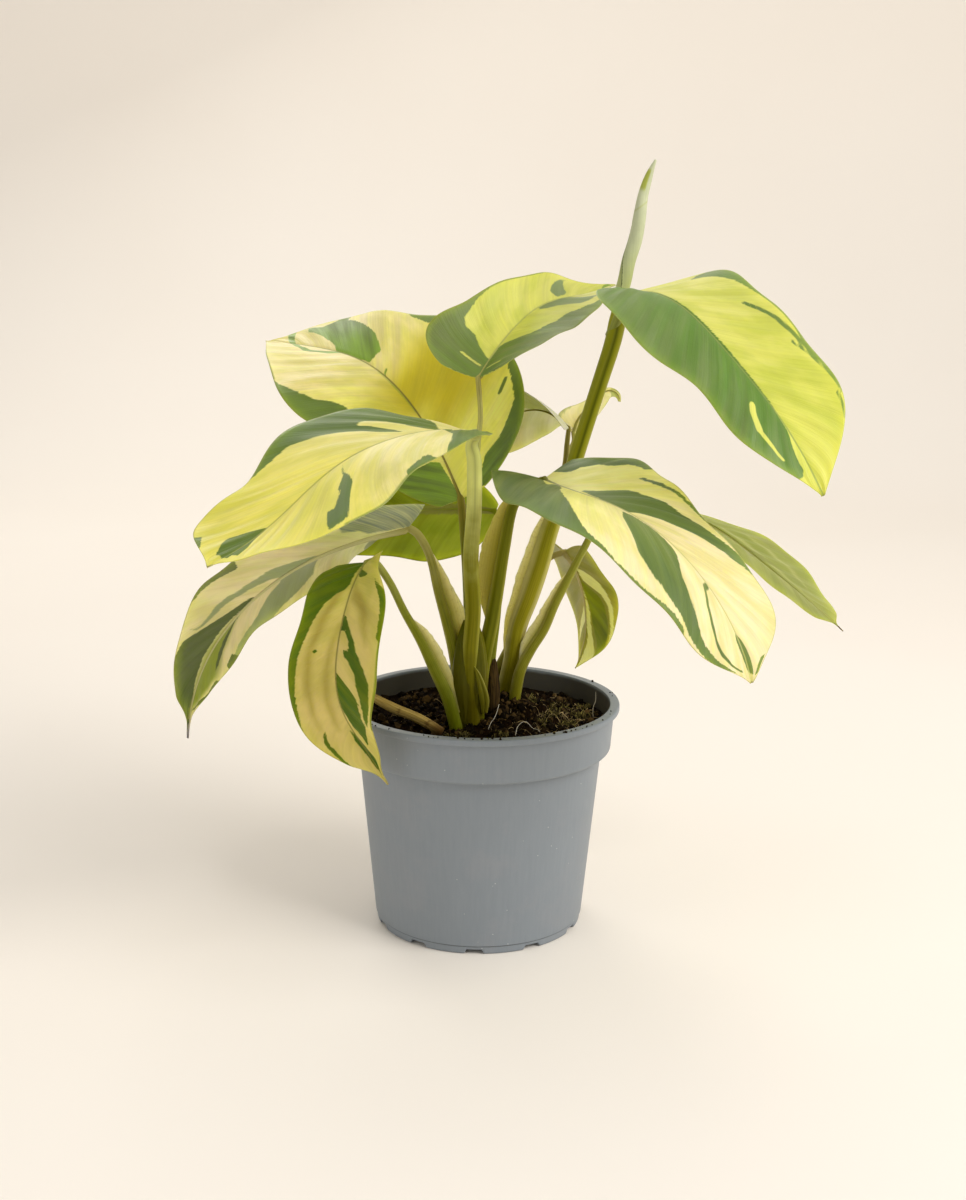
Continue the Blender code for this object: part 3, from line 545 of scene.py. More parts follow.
def makeThreadsOnSoil():
    dice = np.random.default_rng(31)
    count, patch = 340, 140  # the first of them lie in a patch on the right
    reach, angle = 45.5 * np.sqrt(dice.random(count)), dice.random(count) * fullTurn
    x, y = reach * np.cos(angle), reach * np.sin(angle)
    x[:patch] = np.clip(28 + 9 * dice.normal(size=patch), -40, 43)
    y[:patch] = np.clip(12 * dice.normal(size=patch), -18, 18)
    heading, bend = dice.random(count) * fullTurn, dice.normal(size=count) * 1.4
    length = 1.5 + 6.5 * dice.random(count) ** 2
    step = np.linspace(0, 1, 7)
    turn = heading[:, None] + bend[:, None] * step
    pathX = x[:, None] + np.cumsum(np.cos(turn), 1) * length[:, None] / 7
    pathY = y[:, None] + np.cumsum(np.sin(turn), 1) * length[:, None] / 7
    arch = 0.15 + dice.random(count)[:, None] * length[:, None] * 0.22 * np.sin(step * math.pi)
    radii = 0.07 + 0.13 * dice.random(count) ** 2
    paths = np.stack([pathX, pathY, soilHeight(pathX, pathY) + arch], -1)
    inside = np.hypot(pathX, pathY).max(1) < reachable
    fibre = plantFibre("peat fibres", "#1c1206", "#d2b884")
    shades = dice.random(inside.sum()) ** 1.5
    makeThreads("soil_fibres", paths[inside], radii[inside], 5, fibre, shades)

    paths, radii, shades = [], [], []
    for middleX, middleY, spread, number in cushions:
        start = dice.normal(size=(number, 2)) * spread * 0.5 + (middleX, middleY)
        lean = dice.normal(size=(number, 2)) * 0.7
        tall = 0.9 + 1.3 * dice.random(number)
        step = np.array([0, 0.5, 1.0])
        flatPart = start[:, None] + lean[:, None] * step[:, None] * tall[:, None, None]
        height = soilHeight(start[:, 0], start[:, 1])[:, None] + step * tall[:, None] * 0.9
        paths += list(np.concatenate([flatPart, height[..., None]], -1))
        radii += list(0.14 + 0.12 * dice.random(number))
        shades += list(dice.random(number) ** 2)
    makeThreads("moss", paths, radii, 5, plantFibre("dry moss", "#241e08", "#8e8246"), shades)

    paths = []
    for line in roots:
        line = smoothPath(line, np.linspace(0, 1, 30))
        line[:, 2] += soilHeight(line[:, 0], line[:, 1], fine=False) + 0.3
        paths.append(line)
    fibre = plantFibre("fine white roots", "#b8ac90", "#efe8d8")
    makeThreads("root_hairs", paths, [0.11, 0.11, 0.1], 8, fibre, [0.9, 0.7, 0.2])


makeSoil()
makeCrumbs()
makeThreadsOnSoil()
print("soil made")


# leaf frame: unit vectors along the midrib, to the blade's left and out of its upper face,
# from the heading, pitch and roll in degrees at places from 0 at the base to 1 at the tip
def leafDirections(leaf, place):
    heading = np.radians(smoothCurve(leaf["heading"], place))
    pitch = np.radians(smoothCurve(leaf["pitch"], place))
    roll = np.radians(smoothCurve(leaf["roll"], place))[..., None]
    along = np.stack([np.cos(pitch) * np.cos(heading), np.cos(pitch) * np.sin(heading), np.sin(pitch)], -1)
    flatLeft = np.stack([-np.sin(heading), np.cos(heading), 0 * heading], -1)
    flatUp = np.cross(along, flatLeft)
    left = flatLeft * np.cos(roll) + flatUp * np.sin(roll)
    return along, left, flatUp * np.cos(roll) - flatLeft * np.sin(roll)


# midrib: the running sum of the direction, read at distances in mm, straight on past its ends
def midribPlace(leaf, distance):
    steps = np.linspace(0, 1, 61)
    along = leafDirections(leaf, steps)[0]
    travelled = np.cumsum((along[1:] + along[:-1]) / 2, axis=0) * leaf["length"] / 60
    line = np.concatenate([np.zeros((1, 3)), travelled]) + np.array(leaf["base"])
    place = distance / leaf["length"]
    held = np.clip(place, 0, 1)
    along, left, up = leafDirections(leaf, held)
    centre = np.stack([np.interp(held, steps, line[:, axis]) for axis in range(3)], -1)
    return centre + along * ((place - held) * leaf["length"])[..., None], left, up


# half a blade: each row leaves the midrib, bows forwards by lobe and sweep times
# 1 - (1 - across)^1.7, and is bent by the fold and the curl, so that it keeps its flat width;
# the edge is raised and lowered by waves, and the skin swells a little between the veins
def halfBlade(leaf, side, row, across):
    which = 0 if side > 0 else 1
    width = smoothCurve(tuple(leaf["left"] if side > 0 else leaf["right"]) + (0.5,), row)
    tailFrom, tailShare = leaf.get("tail", (0.98, 0.0))  # where the tip is drawn out and dry
    width = width * (1 - tailShare * smoothStep(tailFrom - 0.08, tailFrom, row))
    bows = (-leaf["lobes"][which],) + tuple(leaf["sweep"] * share for share in (0.35, 0.8, 1.0, 0.8, 0.0))
    forwards = smoothCurve(bows, row) * (1 - (1 - across) ** 1.7)
    centre, left, up = midribPlace(leaf, leaf["length"] * row ** 1.4 + forwards)
    start, curl = math.radians(leaf["fold"][which]), math.radians(leaf["curl"][which] or 0.01)
    out = (np.sin(start + curl * across) - math.sin(start)) / curl
    rise = (math.cos(start) - np.cos(start + curl * across)) / curl
    wave = leaf["wave"] * across ** 2 * np.sin(fullTurn * leaf["waves"] * row + side)
    wave = wave * np.sin(math.pi * row)
    vein = veinPlace(leaf, row, across)
    drift = vein + 5 * softNoise(vein, across * width * 0.4, 15.0, 4 + side)
    swell = 0.24 * np.sin(fullTurn * drift / 9.5 + 3 * side) + 0.045 * np.sin(fullTurn * drift / 3.1)
    swell = swell * np.minimum(1, across * 3) * (1 - across ** 4)
    uneven = softNoise(vein, across * width, 13.0, 4 + side) - 0.5
    swell = swell + 0.9 * uneven * np.minimum(1, across * 2)
    groove = -0.25 * np.exp(-(across * width / 0.8) ** 2)
    lift = width * rise + wave + (swell + groove) * smoothStep(0, 0.08, row)
    return centre + side * left * (width * out)[..., None] + up * lift[..., None], width


# how far along the leaf a vein starts, in mm: veins leave the midrib and run forwards
def veinPlace(leaf, row, across):
    return leaf["length"] * (row ** 1.2 - 0.12 * across)


# distance in mm from each place to the nearest of a line's straight parts
def lineDistance(x, y, starts, ends):
    nearest = np.full(x.shape, 1e9)
    for (ax, ay), (bx, by) in zip(starts, ends):
        dx, dy = bx - ax, by - ay
        share = np.clip(((x - ax) * dx + (y - ay) * dy) / max(dx ** 2 + dy ** 2, 1e-9), 0, 1)
        nearest = np.minimum(nearest, np.hypot(x - ax - share * dx, y - ay - share * dy))
    return nearest


# distance in mm to an outline, positive inside it: a place is inside where a level line from it
# crosses the outline an odd number of times
def outlineField(x, y, outline):
    inside, ends = np.zeros(x.shape, bool), np.roll(outline, -1, axis=0)
    for (ax, ay), (bx, by) in zip(outline, ends):
        inside ^= ((ay > y) != (by > y)) & (x < (bx - ax) * (y - ay) / ((by - ay) or 1e-9) + ax)
    nearest = lineDistance(x, y, outline, ends)
    return np.where(inside, nearest, -nearest)


# marks: outlines and streaks (with their half width in mm) in percent of the half width and of the
# length, left of the midrib negative; where two of a kind meet, the deeper one holds
def markFields(leaf, side, row, across):
    scale = np.array([np.mean(leaf["left"] + leaf["right"]) / 100, leaf["length"] / 100])
    x, y = -side * across * 100 * scale[0], row * 100 * scale[1]
    fields = {key: np.full(row.shape, -9.0) for key in ("green", "mid", "deep", "silver", "streak", "bare")}
    for mark in leaf["marks"]:
        key, shape = mark[0], np.array(mark[-1], float) * scale
        if key in ("streak", "bare"):
            fields[key] = np.maximum(fields[key], mark[1] - lineDistance(x, y, shape[:-1], shape[1:]))
        elif key == "clear":
            fields["green"] = np.minimum(fields["green"], -outlineField(x, y, shape))
        else:
            fields[key] = np.maximum(fields[key], outlineField(x, y, shape))
    return {key: np.clip(value, -9, 9) for key, value in fields.items()}


# variegatedLeaf: a thin living blade, green where it has chlorophyll and cream where it has
# none, with a satin cuticle, fine raised veins, a paler midrib and a paler, duller underside
def variegatedLeaf(name, tones, seed):
    keys = ("green", "mid", "deep", "silver", "streak", "bare", "tint", "rim", "rib", "under")
    add, finish, flat, marks = newMaterial(name, 0.42, 1.43, keys, flat=True)
    fine = strandNoise(add, flat, (0.035, 0.95), 2.5, 0.6, (seed, seed, 0))
    broad = strandNoise(add, flat, (0.04, 0.22), 2.0, shift=(seed, 3, 0))
    blotch = add("TexNoise", {"Vector": flat, "Scale": 0.09, "Detail": 3.0}, **planar)
    cells = add("TexNoise", {"Vector": flat, "Scale": 1.6, "Detail": 2.0}, **planar)

    # edges of the markings: ragged by the noise, softer for the deep tone
    jagged = add("Math", [fine, 1.1, -0.55], **timesPlus)
    rough = add("Math", [cells, 0.3, -0.15], **timesPlus)
    jitter = add("Math", [jagged, rough])
    shares = {}
    for key, soft in (("green", 0.22), ("mid", 0.35), ("silver", 0.5), ("deep", tones.get("soft", 3.0))):
        shares[key] = add("MapRange", [add("Math", [marks[key], jitter]), -soft, soft], **eased)
    for key in ("streak", "bare"):
        shares[key] = add("MapRange", [marks[key], -0.2, 0.2], **eased)
    streaked = add("Math", [shares["green"], shares["streak"]], operation="MAXIMUM")
    greenShare = add("Math", [streaked, shares["bare"]], operation="SUBTRACT", use_clamp=True)

    # pale ground: its tint along the blade, with a wash of warmer and paler clouds
    tintMoved = add("Math", [broad, 1.2, -0.6], **timesPlus)
    tint = add("Math", [marks["tint"], tintMoved], use_clamp=True)
    washShare = add("MapRange", [blotch, 0.36, 0.64], **eased)
    wash = add("Mix", [washShare, (0.96, 0.98, 0.87, 1), (1.04, 1.02, 1.14, 1)])
    ground = add("Mix", [tint, tones["pale"], tones["paleEnd"]])
    pale = add("VectorMath", [ground, wash], **times)

    sheen = add("MapRange", [fine, 0.3, 0.7, 0.45, 1.0])
    silverShare = add("Math", [shares["silver"], sheen], **times)
    outwards = add("Math", [marks["rib"], 0.02, broad], **timesPlus)
    green = layTones(add, tones["green"], [(outwards, 0.45, 0.95, 0.0, 1.0, tones["greenEnd"])])
    # the deep tone lies in soft patches; on the upper left leaf it is painted light through the shaded
    # blade
    marked = layTones(add, pale, [
        (shares["deep"], tones["deep"]), (silverShare, tones.get("silver", tones["mid"])),
        (shares["mid"], tones["mid"]), (greenShare, green),
    ])
    veined = shadeTone(add, marked, fine, 0.955, 1.035)  # veins 1 to 1.5 mm apart
    clouded = shadeTone(add, veined, blotch, 0.93, 1.06)
    sided = layTones(add, clouded, [
        (marks["rib"], 0.15, 0.5, 0.75, 0.0, tones["rib"]),
        (marks["rim"], 0.1, 0.45, 0.55, 0.0, tones["rim"]),
        (add("Math", [marks["under"], tones["underShare"]], **times), tones["under"]),
    ], **eased)
    height = add("Math", [cells, 0.25, fine], **timesPlus)
    gloss = add("MapRange", [broad, 0.3, 0.7, 0.38, 0.52])
    through = (0.85, (0.9, 1.0, 0.3), 0.0012)  # light passes through the thin blade
    return finish(sided, (height, 0.5, 0.00025), tones.get("shine", 0.35), through, gloss)


# one blade as a closed sheet, its two halves on one grid, thinner towards its edge and tip
def makeLeaf(name, node, leaf, seed):
    rows = max(70, int(leaf["length"] * 1.15))
    columns = max(14, int(max(leaf["left"] + leaf["right"]) * 0.95))
    steps = np.linspace(0, 1, rows) ** 0.82, np.linspace(0, 1, columns + 1)
    row, across = np.meshgrid(*steps, indexing="ij")
    leftPoints, leftWidth = halfBlade(leaf, 1, row, across)
    rightPoints, rightWidth = halfBlade(leaf, -1, row, across)
    points = np.concatenate([leftPoints[:, ::-1], rightPoints[:, 1:]], 1)
    allAcross = np.concatenate([-across[:, ::-1], across[:, 1:]], 1)
    width = np.concatenate([leftWidth[:, ::-1], rightWidth[:, 1:]], 1)
    allRow = np.concatenate([row, row[:, 1:]], 1)
    rim = np.minimum((1 - np.abs(allAcross)) * width, (1 - allRow) * leaf["length"])
    thickness = 0.16 + 0.22 * smoothStep(0, 5, rim)
    solid, faces = sheetArrays(points, thickness)

    left, right = markFields(leaf, 1, row, across), markFields(leaf, -1, row, across)
    marks = {key: np.concatenate([left[key][:, ::-1], right[key][:, 1:]], 1).ravel() for key in left}
    marks["tint"] = smoothStep(leaf["tint"][0], leaf["tint"][1], allRow * 100).ravel()
    dry = 5 * smoothStep(leaf["tail"][0] - 0.012, leaf["tail"][0], allRow) if "tail" in leaf else 0 * allRow
    marks["rim"] = (rim + dry).ravel()
    marks["rib"] = (np.abs(allAcross) * width + dry).ravel()  # no rib in a dry tip
    marks = {key: np.tile(value, 2) for key, value in marks.items()}
    count = points.shape[0] * points.shape[1]
    marks["under"] = np.repeat([0.0, 1.0], count)
    flat = np.stack([(allAcross * width).ravel(), veinPlace(leaf, allRow, np.abs(allAcross)).ravel()], -1)
    flat = np.tile(flat, (2, 1))
    material = variegatedLeaf(name.replace("_", " ") + " skin", leaf["tones"], seed)
    makePiece(name, solid, faces, material, node, flat=flat, marks=marks)


# leaf at the upper right: long and wide, arching to the right, lime with a green lower half
leafUpperRight = dict(
    base=(49, -2, 237), length=122, heading=(-55, -56, -50, -48), pitch=(14, -28, -40, -57),
    roll=(-11, 14, 17), left=(16, 27, 25, 24, 21), right=(6, 24, 27, 19, 17), lobes=(0, -3), sweep=10,
    fold=(14, 5), curl=(10, -17), wave=0.6, waves=4, tint=(20, 90),
    tones=dict(pale="#d0cf70", paleEnd="#cdcf61", deep="#c1d467", mid="#889868", green="#628434",
        greenEnd="#74884c", rib="#8f9f52", rim="#98a050", under="#a9ad84", underShare=0.45),
    marks=[
        ("green", [(0, 0), (-3, 20), (-4, 60), (-2, 78), (4, 85), (16, 87), (30, 90), (42, 93),
            (70, 94), (104, 94), (104, 0)]),
        ("bare", 1.3, [(37, 74), (44, 75), (50, 77), (56, 79)]),
        ("bare", 0.8, [(46, 76), (56, 79), (62, 83), (70, 88)]),
        ("green", [(-104, 46), (-97, 42), (-90, 34), (-76, 27), (-62, 22), (-75, 20), (-104, 19)]),
        ("streak", 0.62, [(-70, 43), (-80, 47), (-87, 52), (-91, 57), (-94, 61), (-98, 66),
            (-100, 72)]),
        ("streak", 0.42, [(-83, 60), (-90, 64), (-95, 70), (-99, 77)]),
        ("streak", 0.45, [(-93, 77), (-99, 83)]), ("streak", 0.6, [(-100, 40), (-101, 56), (-101, 76)]),
    ],
)

# leaf at the upper middle: held up, its tip behind the tall stem, lime with green wedges
leafUpperMiddle = dict(
    base=(-2, -2, 207), length=93, heading=(62, 51, 53, 34), pitch=(38, 31, 5, 14), roll=(-10, 24, 0),
    left=(14, 26, 20, 14, 10), right=(13, 23, 27, 23, 16), lobes=(0, 0), sweep=0, fold=(22, 15),
    curl=(23, 6), wave=0.5, waves=4, tint=(30, 90),
    tones=dict(pale="#c9ca5f", paleEnd="#bbba64", deep="#c9cf6a", mid="#7b885a", green="#70873a",
        greenEnd="#707d44", rib="#a9ae60", rim="#8f8f4c", under="#a9ad84", underShare=0.45),
    marks=[
        ("green", [(0, 0), (0, 20), (-20, 25), (-40, 30), (-60, 31), (-75, 34), (-90, 42), (-96, 48),
            (-104, 55), (-104, 0)]),
        ("bare", 0.7, [(-40, 18), (-24, 16), (-8, 14)]),
        ("mid", [(-90, 84), (-75, 81), (-60, 80), (-40, 79), (-22, 79), (-12, 77), (-8, 72), (-22, 71),
            (-35, 71), (-50, 73), (-65, 76), (-75, 79)]),
        ("green", [(2, 0), (2, 30), (8, 32), (20, 34), (35, 38), (48, 43), (55, 50), (60, 57), (66, 63),
            (75, 70), (85, 76), (104, 82), (104, 0)]),
        ("bare", 0.7, [(15, 11), (28, 13), (40, 14)]),
        ("mid", [(2, 60), (8, 58), (20, 62), (35, 66), (50, 70), (65, 76), (76, 82), (60, 80), (40, 79),
            (20, 78), (5, 77)]),
        ("green", [(-100, 98), (-60, 96), (0, 94), (40, 91), (65, 87), (80, 82), (104, 73), (104, 78),
            (85, 86), (60, 93), (20, 97), (-40, 99)]),
        ("streak", 0.5, [(-99, 48), (-99, 60), (-99, 72)]),
    ],
)

# leaf at the upper left: the longest, cream with an olive right half and a patch of painted light
leafUpperLeft = dict(
    base=(-8, 8, 161), length=140, heading=(121, 132, 135, 137), pitch=(51, 37, 7, 0),
    roll=(-42, -31, -9), left=(8, 24, 34, 39, 23), right=(11, 36, 42, 29, 22), lobes=(0, 0), sweep=11,
    fold=(9, 12), curl=(-3, 0), wave=0.7, waves=5, tint=(70, 35),
    tones=dict(pale="#ddcf8d", paleEnd="#f6ef73", deep="#d0c02c", mid="#a1a145", green="#86a238",
        greenEnd="#6b7e36", rib="#8f8a3c", rim="#8f8648", under="#b0b08c", underShare=0.4, soft=8.0),
    marks=[
        ("green", [(-104, 74), (-96, 67), (-85, 62), (-74, 56), (-62, 52), (-57, 47), (-62, 30),
            (-75, 15), (-104, 5)]),
        ("green", [(-104, 17), (-60, 20), (-20, 23), (-8, 22), (-4, 10), (-3, 0), (-104, 0)]),
        ("streak", 1.4, [(0, 75), (-10, 76), (-20, 79), (-25, 81), (-22, 85), (-12, 89), (0, 91),
            (20, 92), (60, 93), (100, 94)]),
        ("streak", 0.3, [(-1, 42), (-1.5, 52), (-1, 60)]),
        ("green", [(0, 76), (12, 77), (20, 79), (40, 84), (60, 88), (80, 89), (92, 90), (75, 85),
            (82, 83), (100, 82), (100, 79), (85, 78), (70, 72), (60, 69), (52, 66), (40, 64), (28, 62),
            (15, 63), (4, 64), (0, 68)]),
        ("streak", 0.5, [(3, 58), (8, 58)]),
        ("green", [(104, 34), (92, 33), (88, 24), (70, 17), (50, 14), (48, 8), (60, 2), (104, 0)]),
        ("green", [(104, 62), (96, 60), (86, 54), (90, 50), (104, 48)]),
        ("streak", 0.6, [(75, 28), (85, 30)]),
        # painted light: saturated yellow where light comes through the blade in shade
        ("deep", [(4, 30), (96, 34), (96, 50), (60, 54), (20, 55), (2, 56), (-12, 55), (-28, 47),
            (-22, 40), (0, 40)]),
        ("streak", 0.4, [(-99, 70), (-99, 88)]),
    ],
)

# leaf at the middle left: lies to the left over the others, yellow with green bands
leafMiddleLeft = dict(
    base=(-2, -16, 188), length=131, heading=(238, 221, 234, 227), pitch=(17, -10, -28, -14),
    roll=(2, -9, 3), left=(5, 20, 27, 27, 13), right=(5, 20, 27, 20, 21), lobes=(0, 0), sweep=26,
    fold=(8, 10), curl=(-15, 1), wave=0.8, waves=5, tint=(45, 60),
    tones=dict(pale="#dbd187", paleEnd="#d6cd63", deep="#e0d75e", mid="#9a9f5c", green="#627621",
        greenEnd="#60733b", rib="#a5a444", rim="#8f8a48", under="#b0b08c", underShare=0.4),
    marks=[
        ("green", [(0, 28), (10, 25), (20, 22), (40, 18), (60, 15), (80, 13), (104, 11), (104, 60),
            (95, 57), (85, 53), (78, 49), (65, 46), (50, 43), (35, 41), (22, 41), (10, 39), (10, 38),
            (22, 37), (40, 37), (50, 38), (58, 35), (45, 32), (30, 31), (18, 32), (5, 31)]),
        ("bare", 0.7, [(50, 16), (75, 14), (100, 12)]),
        ("green", [(-104, 31), (-80, 27), (-60, 25), (-30, 25), (-10, 27), (0, 29), (0, 15), (-25, 15),
            (-50, 18), (-60, 10), (-104, 5)]),
        ("clear", [(-50, 18), (-30, 15), (-4, 15), (-2, 22), (-20, 23), (-42, 22)]),
        ("green", [(-104, 44), (-92, 42), (-85, 34), (-104, 33)]),
        ("green", [(-8, 60), (-20, 59), (-32, 57), (-45, 56), (-60, 58), (-75, 60), (-90, 62),
            (-95, 67), (-80, 66), (-62, 65), (-65, 63), (-50, 61), (-45, 60), (-42, 61), (-25, 59),
            (-15, 60)]),
        ("green", [(-62, 90), (-40, 88), (-15, 87), (0, 85), (25, 85), (43, 86), (49, 94), (30, 95),
            (0, 97), (-30, 96), (-50, 93)]),
        ("green", [(82, 84), (86, 89), (104, 93), (104, 86), (95, 85)]),
        ("streak", 0.4, [(-99, 42), (-99, 52), (-99, 64)]),
    ],
)

# leaf drooping to the left: seen from below, tan and grey-green with a dark tip half
leafDroopingLeft = dict(
    base=(-27, -8, 153), length=135, heading=(201, 166, 152, 160), pitch=(-7, -32, -53, -86),
    roll=(6, 21, 10), left=(20, 25, 20, 18, 11), right=(21, 25, 25, 14, 12), lobes=(2, 2), sweep=8,
    fold=(27, -1), curl=(0, -14), wave=0.7, waves=5, tint=(45, 18),
    tones=dict(pale="#d8cca0", paleEnd="#e4e6a4", deep="#8e9a26", mid="#939c74", silver="#74857a",
        green="#3e5418", greenEnd="#535f3e", shine=0.3, rib="#a39a58", rim="#6a5f38", under="#c4b98a",
        underShare=0.12),
    marks=[
        ("green", [(-104, 98), (-60, 97), (-20, 96), (0, 94), (-3, 91), (-10, 88), (-15, 81), (-10, 74),
            (-3, 66), (0, 58), (-9, 61), (-25, 67), (-42, 70), (-60, 72), (-85, 74), (-104, 80)]),
        ("green", [(-104, 66), (-95, 63), (-88, 55), (-80, 50), (-104, 48)]),
        ("mid", [(-84, 71), (-62, 70), (-54, 67), (-46, 60), (-34, 57), (-31, 51), (-22, 45), (-8, 40),
            (0, 36), (0, 50), (-10, 52), (-20, 56), (-30, 60), (-42, 66), (-52, 70), (-62, 71)]),
        ("deep", [(0, 93), (20, 94), (60, 91), (76, 87), (78, 83), (62, 80), (45, 77), (35, 73),
            (20, 70), (4, 67), (-6, 72), (-13, 80), (-8, 89)]),
        ("green", [(2, 58), (5, 63), (10, 68), (24, 71), (36, 74), (46, 78), (60, 82), (44, 80),
            (28, 77), (14, 71), (4, 68), (0, 64)]),
        ("green", [(0, 95), (50, 93), (104, 91), (104, 84), (84, 84), (92, 88), (60, 91.5),
            (30, 93.5)]),
        ("green", [(74, 75), (84, 79), (104, 80), (104, 75)]),
        ("mid", [(0, 50), (14, 51), (24, 54), (40, 57), (60, 61), (75, 65), (80, 71), (86, 75),
            (104, 77), (104, 60), (95, 58), (85, 54), (70, 47), (55, 42), (35, 40), (15, 38), (0, 40)]),
        ("silver", [(-6, 0), (-104, 0), (-104, 22), (-60, 25), (-40, 26), (-30, 22), (-12, 20),
            (-7, 12)]),
        ("mid", [(62, 18), (104, 10), (104, 22), (80, 21)]),
    ],
    tail=(0.965, 0.8),
)

# leaf hanging at the left: tan-cream with dark green bands, its tip drawn out in a thin tail
leafHangingLeft = dict(
    base=(-41, -24, 143), length=99, heading=(255, 255, 230, 177), pitch=(-9, -53, -117, -120),
    roll=(32, 8, -54), left=(7, 10, 18, 18, 10), right=(13, 17, 15, 17, 17), lobes=(2, 3), sweep=1,
    fold=(10, 18), curl=(-11, 0), wave=0.6, waves=4, tint=(20, 50),
    tones=dict(pale="#bfb75a", paleEnd="#c9b96d", deep="#a99a48", mid="#8d8a3c", green="#45620a",
        greenEnd="#66750a", soft=1.6, shine=0.15, rib="#86803a", rim="#77702e", under="#b0a878",
        underShare=0.4),
    marks=[
        ("deep", [(10, 22), (36, 34), (58, 46), (68, 60), (62, 78), (54, 72), (50, 54), (34, 42),
            (12, 28)]),
        ("deep", [(6, 46), (20, 54), (28, 66), (26, 80), (18, 74), (14, 60)]),
        ("deep", [(-12, 28), (-40, 34), (-62, 42), (-68, 52), (-50, 46), (-30, 40), (-12, 36)]),
        ("green", [(0, 42), (0, 48), (-12, 48), (-28, 52), (-32, 54), (-17, 54), (-18, 56), (-30, 57),
            (-48, 60), (-62, 66), (-72, 72), (-80, 79), (-88, 76), (-90, 70), (-82, 62), (-70, 58),
            (-50, 54), (-35, 50), (-18, 46), (-8, 43)]),
        ("green", [(0, 61), (-20, 63), (-38, 65), (-55, 68), (-65, 73), (-72, 79), (-60, 84), (-42, 87),
            (-35, 84), (-20, 80), (-8, 75), (0, 73)]),
        ("green", [(-60, 24), (-45, 25), (-25, 24), (-8, 20), (2, 13), (0, 8), (-12, 15), (-30, 19),
            (-48, 22)]),
        ("green", [(-104, 52), (-90, 50), (-88, 42), (-80, 32), (-82, 29), (-92, 33), (-104, 36)]),
        ("streak", 0.5, [(-99, 50), (-98, 65), (-98, 80)]),
        ("green", [(2, 0), (6, 10), (8, 18), (8, 26), (14, 30), (28, 32), (45, 36), (60, 40), (70, 46),
            (78, 52), (83, 60), (88, 68), (92, 74), (104, 80), (104, 0)]),
        ("green", [(54, 79), (65, 80), (78, 83), (90, 87), (104, 91), (104, 93), (90, 90), (75, 86),
            (62, 81)]),
        ("streak", 0.6, [(46, 55), (48, 55)]),
        ("green", [(-60, 92), (-20, 86), (5, 81), (10, 85), (8, 92), (15, 95), (-30, 97)]),
    ],
    tail=(0.985, 0.6),
)

# leaf at the right: large, hanging forwards, cream with feathered green bands
leafRight = dict(
    base=(22, -14, 172), length=128, heading=(-63, -59, -32, -21), pitch=(-3, -5, -43, -75),
    roll=(3, 1, 21), left=(15, 26, 21, 17, 17), right=(9, 27, 29, 29, 21), lobes=(4, 24), sweep=22,
    fold=(18, 8), curl=(4, -21), wave=0.7, waves=5, tint=(30, 65),
    tones=dict(pale="#f7ee89", paleEnd="#e8d8a4", deep="#d1c267", mid="#a1a060", green="#748442",
        greenEnd="#64783e", rib="#c3c07a", rim="#8f8c50", under="#b0b08c", underShare=0.4),
    marks=[
        ("green", [(-104, 72), (-97, 68), (-80, 64), (-62, 60), (-50, 58), (-38, 57), (-30, 55),
            (-10, 54), (0, 54), (0, 46), (-3, 36), (-5, 29), (-15, 33), (-30, 35), (-42, 37), (-52, 42),
            (-60, 45), (-66, 49), (-80, 54), (-92, 60), (-104, 66)]),
        ("green", [(-104, 58), (-95, 50), (-85, 42), (-78, 36), (-73, 31), (-79, 31), (-88, 38),
            (-97, 47), (-104, 50)]),
        ("green", [(-104, 30), (-90, 28), (-84, 22), (-74, 19), (-70, 16), (-76, 13), (-60, 9),
            (-42, 9), (-38, 6), (-35, 2), (-30, 0), (-104, 0)]),
        ("green", [(-92, 91), (-80, 92), (-68, 95), (-72, 98), (-88, 97)]),
        ("green", [(-45, 96), (-25, 93), (-10, 91), (5, 90), (15, 90), (18, 93), (30, 97), (0, 98),
            (-45, 98)]),
        ("green", [(2, 62), (5, 66), (12, 68), (40, 68), (50, 70), (65, 73), (75, 76), (82, 80),
            (86, 84), (90, 90), (92, 94), (97, 92), (104, 88), (96, 80), (92, 74), (85, 69), (80, 64),
            (72, 60), (60, 56), (40, 54), (22, 52), (8, 52), (4, 57)]),
        ("streak", 0.7, [(4, 79), (15, 77), (35, 77), (50, 79), (62, 82), (72, 86), (77, 90), (74, 94),
            (66, 95)]),
        ("green", [(0, 16), (3, 20), (12, 23), (20, 24), (28, 27), (42, 33), (60, 38), (75, 42),
            (90, 46), (97, 52), (104, 60), (104, 0), (2, 0), (6, 6), (14, 12), (18, 16), (10, 16)]),
        ("green", [(92, 68), (94, 72), (104, 74), (104, 54), (97, 54), (96, 62)]),
    ],
)

